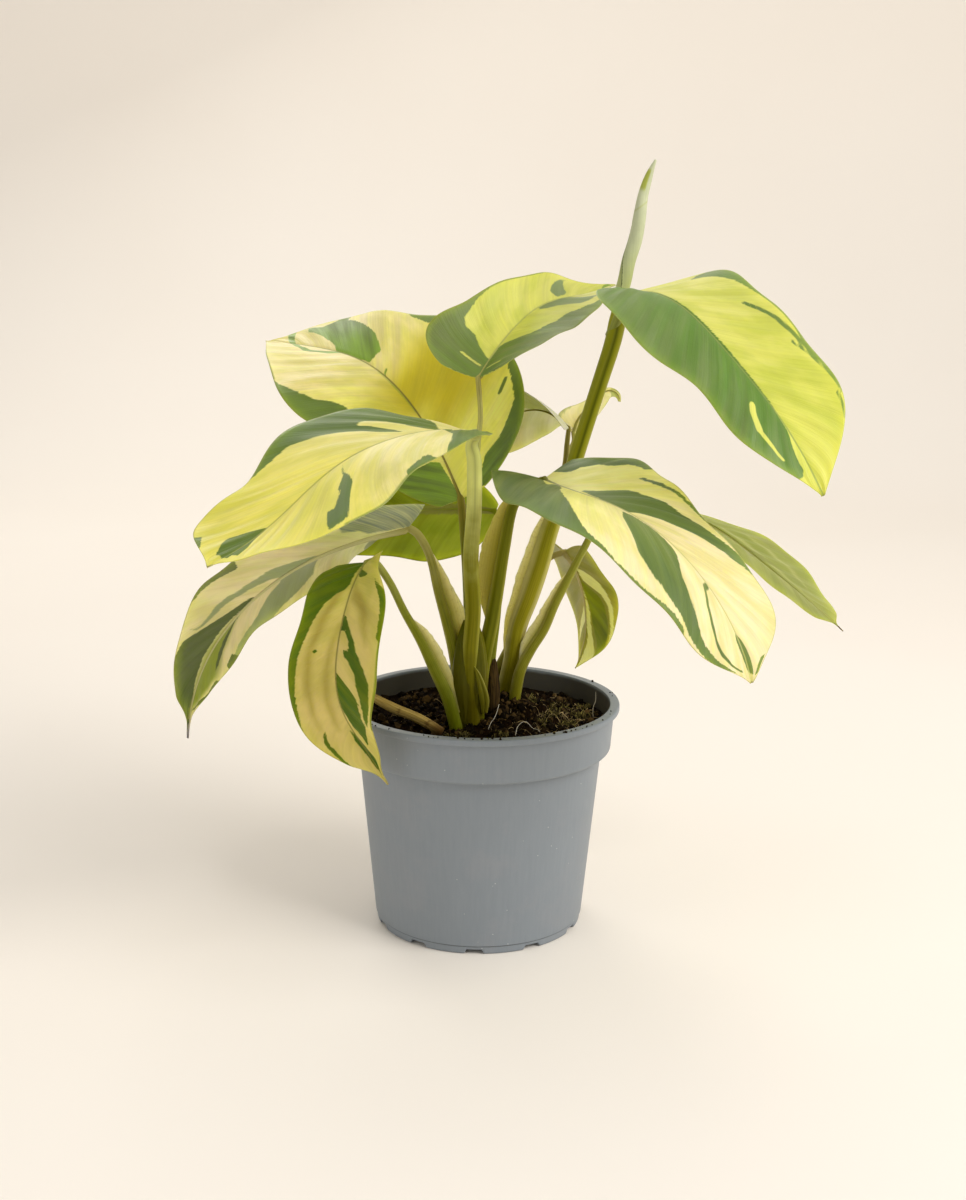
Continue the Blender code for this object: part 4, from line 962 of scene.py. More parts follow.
# leaf behind at the right: seen from below, plain olive
leafRightBehind = dict(
    base=(73, 24, 156), length=91, heading=(15, 18, 8, 11), pitch=(-17, -35, -39, -43),
    roll=(17, 4, -5), left=(11, 19, 21, 17, 14), right=(11, 20, 22, 20, 9), lobes=(4, 4), sweep=10,
    fold=(-5, 17), curl=(-24, 8), wave=0.5, waves=4, tint=(20, 90),
    tones=dict(pale="#a5af4a", paleEnd="#abb26b", deep="#c4c888", mid="#a0a65d", green="#6e4c28",
        greenEnd="#5c3e22", soft=1.0, rib="#c8c88c", rim="#a4a462", under="#b3b46a", underShare=0.15),
    marks=[
        ("green", [(-104, 96.5), (104, 96.5), (104, 101), (-104, 101)]),
        ("deep", [(5, 14), (14, 22), (22, 46), (20, 70), (10, 88), (12, 66), (12, 44)]),
        ("deep", [(-8, 22), (-20, 34), (-26, 56), (-18, 80), (-18, 56), (-14, 38)]),
        ("deep", [(46, 30), (58, 44), (60, 62), (52, 78), (53, 60), (50, 46)]),
        ("mid", [(0, 58), (20, 61), (60, 75), (30, 60), (0, 47)]),
        ("mid", [(-2, 60), (-20, 57), (-50, 52), (-30, 47), (-4, 50)]),
        ("mid", [(60, 30), (104, 40), (104, 62), (80, 50)]),
        ("mid", [(-104, 84), (-60, 76), (-20, 72), (-50, 82), (-104, 92)]),
    ],
    tail=(0.96, 0.85),
)

# small leaf hanging behind: seen from below, grey-olive with cream bands
leafSmallHanging = dict(
    base=(32, 27, 138), length=56, heading=(54, 53, 47, 37), pitch=(-39, -61, -90, -126),
    roll=(13, 16, 24), left=(10, 15, 17, 14, 8), right=(12, 12, 16, 16, 12), lobes=(3, 7), sweep=5,
    fold=(10, 13), curl=(-4, 0), wave=0.4, waves=3, tint=(20, 90),
    tones=dict(pale="#a49f4f", paleEnd="#b2ab3f", deep="#a09849", mid="#f7f6ae", green="#a4aa20",
        greenEnd="#757c1d", rib="#a8a050", rim="#6f6a30", under="#b0ac70", underShare=0.0),
    marks=[
        ("green", [(4, 44), (20, 46), (40, 50), (58, 56), (72, 64), (86, 74), (104, 84), (104, 90),
            (80, 85), (60, 80), (40, 76), (22, 70), (12, 62), (6, 54)]),
        ("mid", [(0, 48), (6, 54), (9, 62), (16, 71), (32, 79), (52, 83), (76, 86), (104, 90),
            (104, 101), (60, 99), (28, 96), (20, 88), (10, 80), (2, 74), (0, 62)]),
        ("mid", [(7, 30), (25, 30), (40, 34), (55, 39), (70, 45), (82, 54), (92, 63), (104, 70),
            (104, 81), (92, 73), (80, 63), (68, 55), (50, 48), (30, 45), (14, 43), (6, 38)]),
        ("mid", [(0, 62), (0, 72), (-20, 73), (-45, 75), (-65, 79), (-80, 81), (-75, 74), (-55, 70),
            (-30, 66), (-10, 63)]),
    ],
)

# leaf at the centre behind: mostly hidden, deep green
leafCentreBehind = dict(
    base=(5, 30, 153), length=83, heading=(180, 183, 182, 183), pitch=(6, -6, -20, -31),
    roll=(-57, -55, -45), left=(8, 20, 23, 17, 10), right=(3, 15, 22, 19, 11), lobes=(1, 1), sweep=7,
    fold=(9, 5), curl=(0, -15), wave=0.5, waves=4, tint=(20, 80),
    tones=dict(shine=0.15, pale="#a7b13b", paleEnd="#7f860a", deep="#646a1e", mid="#90904b",
        green="#66701a", greenEnd="#738013", rib="#9a9a50", rim="#5f6420", under="#9a9c60",
        underShare=0.4),
    marks=[
        ("mid", [(-14, 0), (14, 0), (10, 40), (0, 60), (-10, 40)]),
    ],
)

# small leaf behind the tall stem: seen from below, pale grey-olive
leafBehindStem = dict(
    base=(33, 34, 185), length=54, heading=(154, 151, 159, 162), pitch=(54, -7, -37, -24),
    roll=(7, 30, 33), left=(10, 19, 21, 17, 10), right=(10, 16, 19, 18, 12), lobes=(1, 1), sweep=11,
    fold=(6, 0), curl=(-1, -18), wave=0.3, waves=3, tint=(20, 80),
    tones=dict(pale="#cdcdaf", paleEnd="#c4be8c", deep="#97964a", mid="#9da440", green="#6f7430",
        greenEnd="#7b7e3a", rib="#c0b880", rim="#7f7a44", under="#b8b27c", underShare=0.15),
    marks=[
        ("mid", [(-4, 20), (-60, 22), (-104, 28), (-104, 54), (-60, 52), (-20, 50), (-4, 46)]),
    ],
)

# the smallest leaf: young, its tip hooked over
leafHooked = dict(
    base=(35, 38, 183), length=29, heading=(5, 5, 5, 5), pitch=(84, 46, 34, -100), roll=(-60, -75, -80),
    left=(1, 4, 6, 5, 3), right=(2, 9, 4, 2, 1), lobes=(0, 0), sweep=2, fold=(0, 0), curl=(0, 0),
    wave=0.2, waves=2, tint=(20, 70),
    tones=dict(pale="#e8ddb4", paleEnd="#e6dcb8", deep="#d0c57a", mid="#9aa078", green="#8a8a4c",
        greenEnd="#8a8a4a", rib="#b8b070", rim="#9a9468", under="#c8bc84", underShare=0.15),
    marks=[
        ("mid", [(-104, 82), (104, 80), (104, 104), (-104, 104)]),
        ("mid", [(78, 8), (104, 6), (104, 36), (88, 32)]),
        ("deep", [(-104, 0), (60, 0), (50, 18), (0, 30), (-104, 34)]),
    ],
)

leaves = {
    "blade_upper_right": (leafUpperRight, "tall_leafy_stem"),
    "blade_upper_middle": (leafUpperMiddle, "upper_leafy_stem"),
    "blade_upper_left": (leafUpperLeft, "leaf_upper_left"),
    "blade_middle_left": (leafMiddleLeft, "upper_leafy_stem"),
    "blade_drooping_left": (leafDroopingLeft, "leaf_drooping_left"),
    "blade_hanging_left": (leafHangingLeft, "leaf_hanging_left"),
    "blade_right": (leafRight, "leaf_right"),
    "blade_right_behind": (leafRightBehind, "leaf_right_behind"),
    "blade_small_hanging": (leafSmallHanging, "leaf_small_hanging"),
    "blade_centre_behind": (leafCentreBehind, "leaf_centre_behind"),
    "blade_behind_stem": (leafBehindStem, "tall_leafy_stem"),
    "blade_hooked": (leafHooked, "tall_leafy_stem"),
}
for number, (name, (leaf, node)) in enumerate(leaves.items()):
    makeLeaf(name, node, leaf, 3.7 * number)
print("leaf blades made")


# stalks: routes and radii in mm; a rooted one goes straight down from its first point into the soil
stalkFoot = 64.0
stalks = {
    "tall": dict(node="tall_leafy_stem", rooted=True, side=(-1, 0, 0), sheath=(0.03, 0.31),
        sheathWidth=(2, 4.5, 6, 7, 6, 3),
        route=[(9, 14, 84), (12, 14, 98), (14, 14, 111), (18, 13, 123), (22, 13, 136), (26, 12, 151),
        (31, 11, 164), (35, 10, 178), (39, 9, 192), (43, 7, 206), (47, 6, 220), (49, 4, 232),
        (51, 3, 241), (52, 3, 249), (54, 3, 257), (55, 2, 265), (56, 2, 272), (58, 2, 279),
        (60, 1, 284)],
        radii=(3.2, 3.4, 3.7, 3.9, 3.5, 3.0, 2.9, 2.9, 3.0, 3.2, 3.3, 2.7, 2.7, 2.3, 1.8, 0.4)),
    "tallToBlade": dict(node="tall_leafy_stem", blade=leafUpperRight,
        route=[(46, 6, 222), (49, 1, 231), (49, -2, 237)],
        radii=(2.0, 1.8, 1.4)),
    "behindStem": dict(node="tall_leafy_stem", blade=leafBehindStem,
        route=[(28, 13, 163), (31, 18, 172), (32, 25, 180), (33, 34, 185)],
        radii=(1.4, 1.2, 1.0, 0.9)),
    "hooked": dict(node="tall_leafy_stem", blade=leafHooked,
        route=[(31, 18, 172), (33, 26, 177), (35, 33, 180), (35, 38, 183)],
        radii=(1.1, 1.0, 0.9, 0.9)),
    "main": dict(node="upper_leafy_stem", rooted=True, blade=leafMiddleLeft,
        route=[(-3, -10, 82), (-4, -10, 104), (-3, -10, 123), (-4, -10, 142), (-3, -10, 160),
        (-3, -11, 177), (-4, -13, 184), (-2, -16, 188)],
        radii=(2.9, 2.9, 2.9, 2.9, 2.8, 2.7, 2.2, 1.5)),
    "mainToUpper": dict(node="upper_leafy_stem", blade=leafUpperMiddle,
        route=[(-3, -10, 168), (-2, -9, 182), (-1, -5, 194), (-2, -2, 207)],
        radii=(1.4, 1.1, 0.9, 1.0)),
    "upperLeft": dict(node="leaf_upper_left", rooted=True, blade=leafUpperLeft,
        route=[(-5, 2, 80), (-4, 3, 100), (-5, 4, 120), (-6, 6, 136), (-7, 7, 150), (-8, 8, 161)],
        radii=(2.0, 1.9, 1.7, 1.5, 1.5, 1.4)),
    "droopingLeft": dict(node="leaf_drooping_left", rooted=True, blade=leafDroopingLeft,
        side=(1, 0.25, 0), sheath=(0.05, 0.74), sheathWidth=(4, 6.5, 7.5, 7.5, 5, 1),
        route=[(-8, -5, 80), (-8, -5, 93), (-10, -5, 106), (-13, -5, 118), (-16, -6, 129),
        (-19, -7, 142), (-23, -8, 150), (-27, -8, 153)],
        radii=(2.4, 2.4, 2.3, 2.0, 1.7, 1.5, 1.5, 1.4)),
    "hangingLeft": dict(node="leaf_hanging_left", rooted=True, blade=leafHangingLeft, side=(1, 0.2, 0),
        sheath=(0.06, 0.55), sheathWidth=(3, 4.5, 5.5, 4.5, 1),
        route=[(-9, -13, 79), (-12, -13, 90), (-17, -13, 101), (-22, -14, 112), (-28, -15, 123),
        (-33, -17, 134), (-38, -20, 142), (-41, -24, 143)],
        radii=(2.4, 2.4, 2.2, 1.8, 1.5, 1.4, 1.4, 1.2)),
    "right": dict(node="leaf_right", rooted=True, blade=leafRight, side=(-1, 0.2, 0),
        sheath=(0.25, 0.8), sheathWidth=(1, 6.2, 8.4, 8.2, 5, 1.2),
        route=[(-1, -3, 82), (1, -3, 102), (4, -4, 118), (6, -5, 131), (8, -7, 145), (11, -9, 161),
        (16, -12, 168), (22, -14, 172)],
        radii=(2.6, 2.8, 2.7, 2.5, 2.3, 2.0, 1.8, 1.5),
        sheathTones=dict(inner="#9a9628", outer="#c8c074", foot="#74700e")),
    "rightBehind": dict(node="leaf_right_behind", rooted=True, blade=leafRightBehind, side=(-1, 0, 0),
        sheath=(0.13, 0.6), sheathWidth=(1, 4.5, 5, 4, 3, 1),
        route=[(13, 8, 84), (15, 8, 95), (19, 9, 103), (24, 10, 111), (28, 10, 121), (33, 11, 131),
        (38, 12, 141), (45, 15, 152), (58, 20, 158), (73, 24, 156)],
        radii=(2.3, 2.2, 1.9, 1.8, 1.7, 1.6, 1.4, 1.3, 1.2, 1.2)),
    "smallHanging": dict(node="leaf_small_hanging", rooted=True, blade=leafSmallHanging,
        route=[(2, 16, 84), (7, 18, 94), (14, 22, 108), (19, 26, 121), (25, 27, 134), (32, 27, 138)],
        radii=(1.8, 1.7, 1.5, 1.3, 1.2, 1.2)),
    "centreBehind": dict(node="leaf_centre_behind", rooted=True, blade=leafCentreBehind,
        route=[(3, 6, 84), (4, 10, 100), (6, 15, 117), (7, 22, 135), (7, 27, 146), (5, 30, 153)],
        radii=(1.8, 1.8, 1.6, 1.4, 1.3, 1.2)),
}


# livingStalk: smooth green leaf stalk with fine lengthwise strands, a painted highlight on its flanks
# and ridge, painted shade in its groove, browner at its foot, pale again as the rib under the blade
def livingStalk(name, tones):
    keys = ("height", "flankHighlight", "groove", "rib")
    add, finish, flat, marks = newMaterial(name, 0.36, 1.43, keys, flat=True)
    fine = strandNoise(add, flat, (2.4, 0.03), 3.0)
    blotch = add("TexNoise", {"Vector": flat, "Scale": 0.16, "Detail": 4.0}, **planar)
    lift = add("Math", [blotch, 26.0, marks["height"]], **timesPlus)
    body = layTones(add, tones["dark"], [(fine, 0.2, 0.8, 0.0, 1.0, tones["light"])])
    tone = layTones(add, body, [
        (marks["flankHighlight"], 0.55, 1.0, 0.0, 0.8, tones["flankHighlight"]),
        (lift, tones["topFrom"] - 12, tones["topFrom"] + 42, 0.0, 0.9, tones["top"]),
        (lift, 92.0, 124.0, 0.85, 0.0, tones["foot"]),
        (marks["rib"], tones["rib"]), (marks["groove"], "#3a4402"),
    ], **eased)
    toned = shadeTone(add, tone, fine, 0.95, 1.05)
    return finish(toned, (fine, 0.2, 0.0001), 0.1, (0.3, (0.9, 1.0, 0.3), 0.001))


# tones along each stalk in the order of toneKeys; the top's tone begins at topFrom in mm
toneKeys = ("dark", "light", "flankHighlight", "top", "foot", "rib", "topFrom")
stalkTones = {
    "tall": ("#7e7a06", "#a8a020", "#e2d88c", "#8e9012", "#77700a", "#a8a860", 150),
    "tallToBlade": ("#7c7e20", "#9da040", "#b8b868", "#8d934a", "#77700a", "#97a05a", 200),
    "behindStem": ("#6a6022", "#8a7e3a", "#b0a65c", "#9c8048", "#77700a", "#7e7a36", 300),
    "hooked": ("#9a9448", "#b0ac60", "#c4bc78", "#b8ae6c", "#77700a", "#8c8440", 300),
    "main": ("#727202", "#8e8812", "#b4b040", "#e9ec90", "#5e5608", "#b0ae68", 153),
    "mainToUpper": ("#c4c26c", "#dcdc90", "#c0b860", "#a89c54", "#77681a", "#b0b268", 186),
    "upperLeft": ("#5e6a0c", "#7c8428", "#9a9a48", "#8a7a2c", "#6c5a1c", "#a89c4c", 150),
    "droopingLeft": ("#6a7006", "#9a9a2a", "#b4ac54", "#aca462", "#5c6204", "#c2be88", 136),
    "hangingLeft": ("#7c8412", "#969a2c", "#b0ac54", "#a4a460", "#6c7408", "#938c48", 136),
    "right": ("#5e6202", "#7c7e0a", "#aaa63c", "#6c7010", "#5a5a02", "#bcb87c", 160),
    "rightBehind": ("#7a7a16", "#969430", "#bcb468", "#8c8e38", "#7c7814", "#a8ac60", 128),
    "smallHanging": ("#74741c", "#9c9640", "#b0a860", "#a09458", "#6c6018", "#d2c688", 118),
    "centreBehind": ("#6c7412", "#8c9028", "#a4a44a", "#86901e", "#6c6018", "#94a030", 120),
}


# stalk path: straight up from its foot, along its route in steps of about 1.4 mm, then under the
# blade's midrib as its rib, thinner and thinner
def stalkPath(stalk):
    route = np.array(stalk["route"], float)
    places = np.linspace(0, 1, max(8, int(distanceAlong(route)[-1] / 1.4)))
    path, radii = smoothPath(route, places), smoothCurve(stalk["radii"], places)
    if stalk.get("rooted"):
        drop = np.linspace(stalkFoot, route[0, 2], 8)[:-1]
        foot = np.stack([0 * drop + route[0, 0], 0 * drop + route[0, 1], drop], -1)
        path, radii = np.concatenate([foot, path]), np.concatenate([0 * drop + radii[0], radii])
    if "blade" in stalk:
        leaf = stalk["blade"]
        reach = np.linspace(0, 0.97, int(leaf["length"] / 1.6))[1:]
        rib = np.interp(reach, (0, 0.08, 0.3, 0.97), (radii[-1], radii[-1] * 0.75, radii[-1] * 0.42, 0.12))
        centre, _, up = midribPlace(leaf, reach * leaf["length"])
        below = (rib * 0.55)[:, None] + 0.25 * np.minimum(1, reach * 30)[:, None]
        path = np.concatenate([path, centre - up * below])
        radii = np.concatenate([radii, rib])
    return path, radii, (len(reach) if "blade" in stalk else 0)


# stalk surface: circles round its path; a painted highlight marks its two flanks by the sine of the
# angle and a narrow ridge by a bell curve of it; painted shade marks a groove by another bell curve
def makeStalk(name, stalk):
    path, radii, ribCount = stalkPath(stalk)
    if name == "tall":
        keep = int(len(path) * 0.645)  # the rolled leaf takes over from here
        path, radii = path[:keep], radii[:keep] * (1 - 0.25 * smoothStep(keep - 7, keep, np.arange(keep)))
    sides = 48 if name == "tall" else 28
    points, faces = tubeArrays(path, radii, sides)
    travelled, angle = distanceAlong(path), turnAngles(sides)
    flat = tubeMap(np.abs(angle - math.pi) * radii.max(), travelled)
    beyond = np.arange(len(path)) - (len(path) - ribCount)
    sideways = aroundFront(angle + 0.05 * softNoise(travelled[:, None], 0 * angle[None], 25.0))
    ridged = 1.0 if name == "tall" else 0.55  # the thick stalk shows its groove and ridge most
    upwards = path[:, 2:]
    ridge = sideways + np.interp(upwards, (179, 223), (0.85, 0.15))  # it turns forwards higher up
    ridge = (0.55 + 0.35 * ridged) * np.exp(-((ridge / 0.24) ** 2))
    flankHighlight = np.maximum(np.abs(np.sin(sideways)) ** (1 - 0.4 * ridged), ridge)
    groove = 0.75 * ridged * np.exp(-(((sideways - 0.02) / 0.24) ** 2)) * smoothStep(140, 172, upwards)
    marks = {
        "height": points[:, 2],
        "flankHighlight": np.append(flankHighlight.ravel(), [0, 0]),
        "groove": np.append(groove.ravel(), [0, 0]),
        "rib": np.append(np.repeat(smoothStep(-3, 9, beyond) * (ribCount > 0), sides), [0, ribCount > 0]),
    }
    skin = livingStalk("leaf stalk " + name, dict(zip(toneKeys, stalkTones[name])))
    makePiece("stalk_" + name, points, faces, skin, stalk["node"], flat=flat, marks=marks)


# sheathSkin: the thin clasping margin of a leaf stalk, pale and half dry, with brown specks
# towards its free edge
def sheathSkin(name, tones):
    add, finish, flat, marks = newMaterial(name, 0.5, 1.42, ("height", "edge"), flat=True)
    fine = strandNoise(add, flat, (2.2, 0.05), 3.0)
    fleck = add("TexNoise", {"Vector": flat, "Scale": 0.9, "Detail": 4.0}, **planar)
    speckShare = add("MapRange", [fleck, 0.56, 0.76, 0.0, 0.32])
    tone = layTones(add, tones["inner"], [
        (marks["edge"], 0.15, 1.05, 0.0, 1.0, tones["outer"]),
        (add("Math", [speckShare, marks["edge"]], **times), "#8a6238"),
        (marks["height"], 82.0, 112.0, 0.75, 0.0, tones["foot"]),
    ], **eased)
    toned = shadeTone(add, tone, fine, 0.92, 1.06)
    return finish(toned, (fine, 0.3, 0.00015), 0.15, (0.8, (1.0, 0.9, 0.4), 0.0012))


# sheath wing: from the stalk's axis out to one side, bent back by the square of the reach,
# its free edge slightly ragged
def makeSheath(name, stalk):
    route = np.array(stalk["route"], float)
    rows = np.linspace(0, 1, 90)
    start, end = stalk["sheath"]
    axis = smoothPath(route, start + (end - start) * rows)
    tangent = unit(np.gradient(axis, axis=0))
    side = np.array(stalk["side"], float)
    side = unit(side - tangent * (tangent @ side)[:, None])
    back = np.cross(tangent, side)
    back = back * np.sign(back[:, 1:2])
    across = np.linspace(0, 1, 15)
    width = smoothCurve(stalk["sheathWidth"], rows) + 0.5 * (softNoise(rows * 60, rows * 0, 2.0, 6) - 0.5)
    points = axis[:, None] + side[:, None] * (width[:, None] * across)[..., None]
    points = points + back[:, None] * (0.18 * width[:, None] * across ** 2)[..., None]
    thickness = np.broadcast_to(0.5 - 0.3 * across, points.shape[:2])
    solid, faces = sheetArrays(points, thickness)
    reach = (width[:, None] * across).ravel()
    flat = np.stack([reach, np.repeat(rows * distanceAlong(axis)[-1], len(across))], -1)
    marks = {"height": solid[:, 2], "edge": np.tile(across, 2 * len(rows))}
    skin = sheathSkin("stalk sheath " + name, stalk.get("sheathTones", sheathTones))
    flat = np.tile(flat, (2, 1))
    makePiece("sheath_" + name, solid, faces, skin, stalk["node"], flat=flat, marks=marks)


sheathTones = dict(inner="#9a9c2c", outer="#f0e6b4", foot="#88841a")


for name, stalk in stalks.items():
    makeStalk(name, stalk)
    if "sheath" in stalk:
        makeSheath(name, stalk)
print("stalks and sheaths made")


# driedTissue: dead stalk and sheath, matt and fibrous, straw to brown with dark spots
def driedTissue(name, tones):
    add, finish, flat, marks = newMaterial(name, 0.85, 1.4, ("end",), flat=True)
    fine, blotch = strandNoise(add, flat, (1.6, 0.05), 4.0), strandNoise(add, flat, (0.7, 0.25), 4.0)
    spotted = layTones(add, tones["dark"], [
        (fine, 0.35, 0.65, 0.0, 1.0, tones["light"]), (blotch, 0.58, 0.74, 0.0, 0.75, tones["spot"])])
    ended = layTones(add, spotted, [(marks["end"], 0.5, 1.0, 0.0, 0.9, tones["spot"])], **eased)
    return finish(ended, (fine, 0.5, 0.0002), 0.25)


driedStalk = dict(route=[(-14, -20, 79), (-23, -16, 83), (-33, -12, 86), (-43, -7, 90)],
    radii=(1.6, 1.9, 1.8, 1.3), tones=dict(dark="#8f7428", light="#cdb268", spot="#5a3c18"))
# dry sheath tones: brown dried tissue darkened almost to black as painted shade between the stalks
drySheath = dict(route=[(5, 0, 80), (5, 0, 92), (5, 0, 103)], width=(1.2, 2.4, 2.6, 2.0, 0.6),
    tones=dict(dark="#2a1c0a", light="#665028", spot="#140c05"))


# rolled leaf: a young blade still rolled round itself; the radius grows by an eighth round the roll,
# so that its free edge stands out as a step, and narrows to a point at the tip
spear = dict(start=0.615, overlap=0.13, seamAt=(0, 0.14, 0.25, 0.36, 0.5, 1),
    seam=(0.2, -0.4, -0.9, -1.57, -2.2, -3.0), widest=2.5,
    tones=dict(outer="#c6cba6", inner="#80885c", edge="#465028", fold="#a8b04c", base="#b4bc78"))


def makeSpear():
    d = spear
    stalk = stalks["tall"]
    places = np.linspace(d["start"], 1, 110)
    path, radii = smoothPath(stalk["route"], places), smoothCurve(stalk["radii"], places)
    share = (places - d["start"]) / (1 - d["start"])
    slimmer = np.interp(share, (0, 0.5, 0.75, 0.9, 1), (1, 0.98, 0.9, 0.84, 1))
    radii = np.clip(radii * 0.96, 0.12, d["widest"]) * slimmer
    path = path - np.array([1.0, 0, 0]) * smoothStep(0.4, 0, share)[:, None]
    sides = 64
    angle = turnAngles(sides)
    seam = np.interp(share, d["seamAt"], d["seam"])  # the free edge climbs round the roll
    turn = ((angle - seam[:, None]) / fullTurn) % 1
    reach = radii[:, None] * (1 - 0.5 * d["overlap"] + d["overlap"] * turn)
    sideways = aroundFront(angle)
    fold = (smoothStep(0.72, 0.76, share) * smoothStep(0.92, 0.88, share))[:, None]
    crease = np.exp(-(((share[:, None] - 0.63 - 0.04 * np.sin(sideways)) / 0.008) ** 2))
    fold = np.maximum(fold * smoothStep(0.25, -0.15, sideways), 0.45 * crease * (np.abs(sideways) < 1.6))
    points, faces = tubeArrays(path, reach, sides)
    flat = tubeMap(turn * 18, distanceAlong(path))
    marks = {"turn": turn.ravel(), "reach": np.repeat(share, sides), "fold": fold.ravel()}
    marks = {key: np.append(values, [0, values[-1]]) for key, values in marks.items()}
    makePiece("rolled_leaf", points, faces, rolledLeaf(d["tones"]), stalk["node"], flat=flat, marks=marks)


# rolledLeaf: the pale underside of a leaf that hasn't opened, with fine veins along it and a dark line
# at its free edge, painted shadow; beside that edge the darker inner tone is partly painted shade
def rolledLeaf(tones):
    keys = ("turn", "reach", "fold")
    add, finish, flat, marks = newMaterial("rolled young leaf", 0.45, 1.43, keys, flat=True)
    fine = strandNoise(add, flat, (1.3, 0.05), 3.0, turn=0.12)
    blotch = add("TexNoise", {"Vector": flat, "Scale": 0.14, "Detail": 3.0}, **planar)
    tone = layTones(add, tones["outer"], [
        # inner and edge tones: painted shade beside the roll's free edge and painted shadow under it
        (marks["turn"], 0.74, 0.95, 0.0, 1.0, tones["inner"]),
        (marks["reach"], 0.1, 0.5, 0.8, 0.0, tones["base"]),
        (marks["turn"], 0.955, 0.985, 0.0, 0.9, tones["edge"]), (marks["fold"], tones["fold"]),
    ], **eased)
    veined = shadeTone(add, tone, fine, 0.94, 1.04)
    return finish(shadeTone(add, veined, blotch, 0.93, 1.05), (fine, 0.3, 0.00015), 0.3)


# clasping sheaths: the oldest leaf bases, which wrap round the foot of the shoot; closed tubes,
# flattened front to back and finely pleated round their girth
clasps = {
    "outer": dict(node="upper_leafy_stem", depth=0.6, pleats=11, pleat=0.03,
        tones=dict(inner="#5e6004", outer="#74720e", foot="#665e10"),
        route=[(-4, -8, 72), (-4, -9, 82), (-4, -9, 92), (-4, -8, 100), (-4, -7, 110), (-4, -6, 118)],
        radii=(3.4, 4.6, 6.3, 6.6, 5.2, 2.6)),
    "inner": dict(node="upper_leafy_stem", depth=0.4, pleats=5, pleat=0.02,
        tones=dict(inner="#7c7a10", outer="#c0ba62", foot="#807a1c"),
        route=[(1.5, -11, 84), (1.5, -12, 89), (0.5, -12.5, 94), (-1, -12.6, 99), (-2.5, -12.4, 102)],
        radii=(1.2, 1.8, 1.6, 0.9, 0.2)),
}


# clasp surface: rings round the route, their radius times a flattening (the depth at the front) and
# pleats, two sines of the angle that turn a little with height
def makeClasp(name, d):
    places = np.linspace(0, 1, 70)
    path, radii = smoothPath(d["route"], places), smoothCurve(d["radii"], places)
    sides = 72
    angle = turnAngles(sides)
    up = places[:, None]
    pleat = 1 + d["pleat"] * (np.sin(d["pleats"] * angle + 5 * up) + 0.6 * np.sin(17 * angle - 4 * up))
    flatten = np.sqrt((np.cos(angle) * d["depth"]) ** 2 + np.sin(angle) ** 2)
    points, faces = tubeArrays(path, radii[:, None] * pleat * flatten, sides)
    flat = tubeMap(np.abs(angle - math.pi) * 7, places * 48)
    edge = np.append(np.tile(np.clip(np.sin(angle), 0, 1) ** 3, len(places)), [0, 0])
    skin = sheathSkin("clasping sheath " + name, d["tones"])
    marks = {"height": points[:, 2], "edge": edge}
    makePiece("clasping_sheath_" + name, points, faces, skin, d["node"], flat=flat, marks=marks)


makeSpear()
for name, clasp in clasps.items():
    makeClasp(name, clasp)
print("rolled leaf and clasping sheaths made")


# dried stub: rings round the route with blunt lengthwise ridges, two sines of the angle
def makeDriedStalk():
    d = driedStalk
    places = np.linspace(0, 1, 60)
    path, radii = smoothPath(d["route"], places), smoothCurve(d["radii"], places)
    sides = 24
    angle = turnAngles(sides)
    ridges = 1 + 0.05 * np.sin(9 * angle) + 0.05 * np.sin(3 * angle + 1)
    reach = radii[:, None] * ridges[None] * (1 + 0.05 * np.sin(9 * places + 1))[:, None]
    points, faces = tubeArrays(path, reach, sides)
    flat = tubeMap(np.abs(angle - math.pi) * 1.8, places * 34)
    end = np.append(np.repeat(1 - places, sides), [1, 0]) ** 2
    skin = driedTissue("dried leaf stalk", d["tones"])
    makePiece("dried_stub", points, faces, skin, "dried_stalk", flat=flat, marks={"end": end})


# dry sheath: a thin rolled strip, its width carried along the route and curled round it
def makeDrySheath():
    d = drySheath
    rows, across = np.meshgrid(np.linspace(0, 1, 60), np.linspace(-1, 1, 25), indexing="ij")
    axis = smoothPath(d["route"], rows[:, 0])
    width = smoothCurve(d["width"], rows)
    ragged = 3.0 * softNoise(across * 6, 0 * across, 1.0, 5) * rows ** 4  # the torn top edge
    x = axis[:, None, 0] + width * (np.sin(across) + 0.1 * np.sin(7 * rows))
    y = axis[:, None, 1] - width * (np.cos(across) - 0.6) * 0.5
    z = axis[:, None, 2] + 0.3 * softNoise(rows * 30, across * 3, 1.0, 2) - ragged
    solid, faces = sheetArrays(np.stack([x, y, z], -1), np.full(rows.shape, 0.35))
    flat = np.stack([(across * width).ravel(), (rows * 23).ravel()], -1)
    flat, end = np.tile(flat, (2, 1)), np.tile(1 - rows.ravel(), 2) ** 3
    skin = driedTissue("dried leaf sheath", d["tones"])
    makePiece("dry_strip", solid, faces, skin, "dry_sheath", flat=flat, marks={"end": end})


makeDriedStalk()
makeDrySheath()
print("dried parts made")


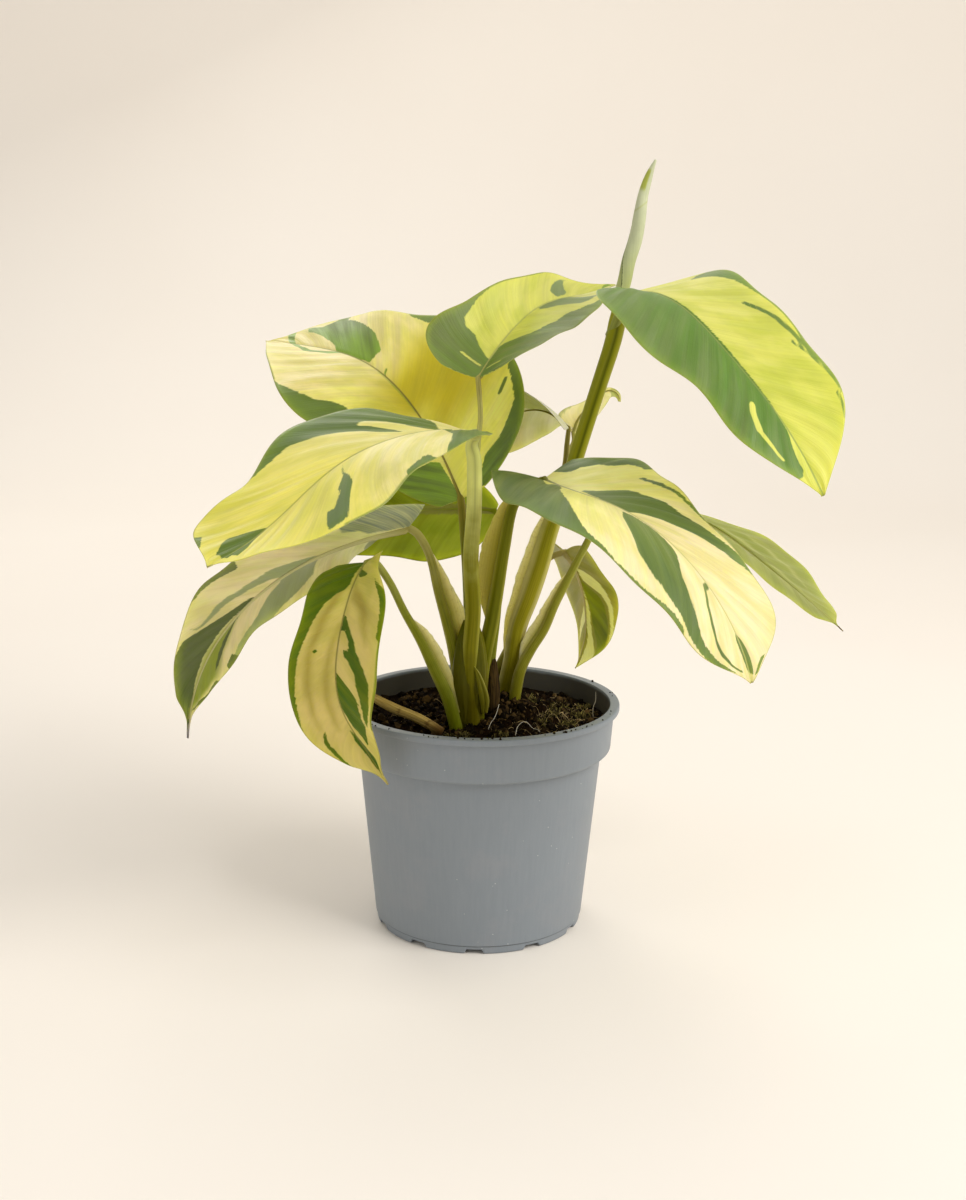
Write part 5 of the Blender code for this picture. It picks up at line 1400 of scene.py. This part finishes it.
# studio: a pale floor that curves up into the backdrop, a large soft key from the upper right,
# a weaker fill from the left and a soft light from behind
def makeStage():
    level, bend = 0.9, 0.45  # in metres: how far back the floor stays level, and its curve's radius
    reach = np.linspace(-1.6, 1.9, 60)
    turn = np.clip((reach - level) / bend, 0, math.pi / 2)
    curve = np.where(reach > level, level + bend * np.sin(turn), reach)
    rise = np.where(reach > level, bend * (1 - np.cos(turn)), 0)
    rise = rise + np.maximum(0, reach - level - bend * math.pi / 2) * 4
    width = np.linspace(-2.2, 2.2, 12)
    points = np.stack(np.broadcast_arrays(width, curve[:, None], rise[:, None]), -1).reshape(-1, 3)
    mesh = bpy.data.meshes.new("backdrop")
    mesh.from_pydata(points.tolist(), [], gridFaces(len(reach), len(width)).tolist())
    mesh.shade_smooth()
    # painted backdrop: matt warm white, so no glare, only just uneven
    add, finish, place, _ = newMaterial("painted backdrop", 0.9)
    noise = add("TexNoise", {"Vector": place, "Scale": 3.0, "Detail": 2.0})
    mesh.materials.append(finish(layTones(add, "#f6eee3", [(noise, "#faf4eb")])))
    backdrop = addObject("backdrop", mesh)


def makeLight(name, place, target, size, power, colour):
    data = bpy.data.lights.new(name, "AREA")
    data.shape, data.size, data.energy, data.color = "DISK", size, power, colour
    data.specular_factor = 0.35 if name == "back" else 1.0  # little shine from behind
    light = addObject(name, data)
    light.location = place
    light.rotation_euler = (Vector(target) - Vector(place)).to_track_quat("-Z", "Y").to_euler()


makeStage()
makeLight("key", (0.95, -0.6, 1.0), (0, 0, 0.14), 0.9, 14.5, (1.0, 0.98, 0.96))
makeLight("fill", (-1.1, -0.6, 0.5), (0, 0, 0.14), 0.9, 1.5, (0.96, 0.98, 1.0))
makeLight("back", (-0.35, 1.0, 0.9), (0, 0, 0.16), 0.7, 3.5, (1.0, 0.99, 0.96))
world = bpy.data.worlds.new("room")
bpy.context.scene.world = world
world.use_nodes = True
room = world.node_tree.nodes["Background"]
fillInputs(world.node_tree, room, {"Color": (1.0, 0.97, 0.93, 1), "Strength": 0.54})
print("studio set")
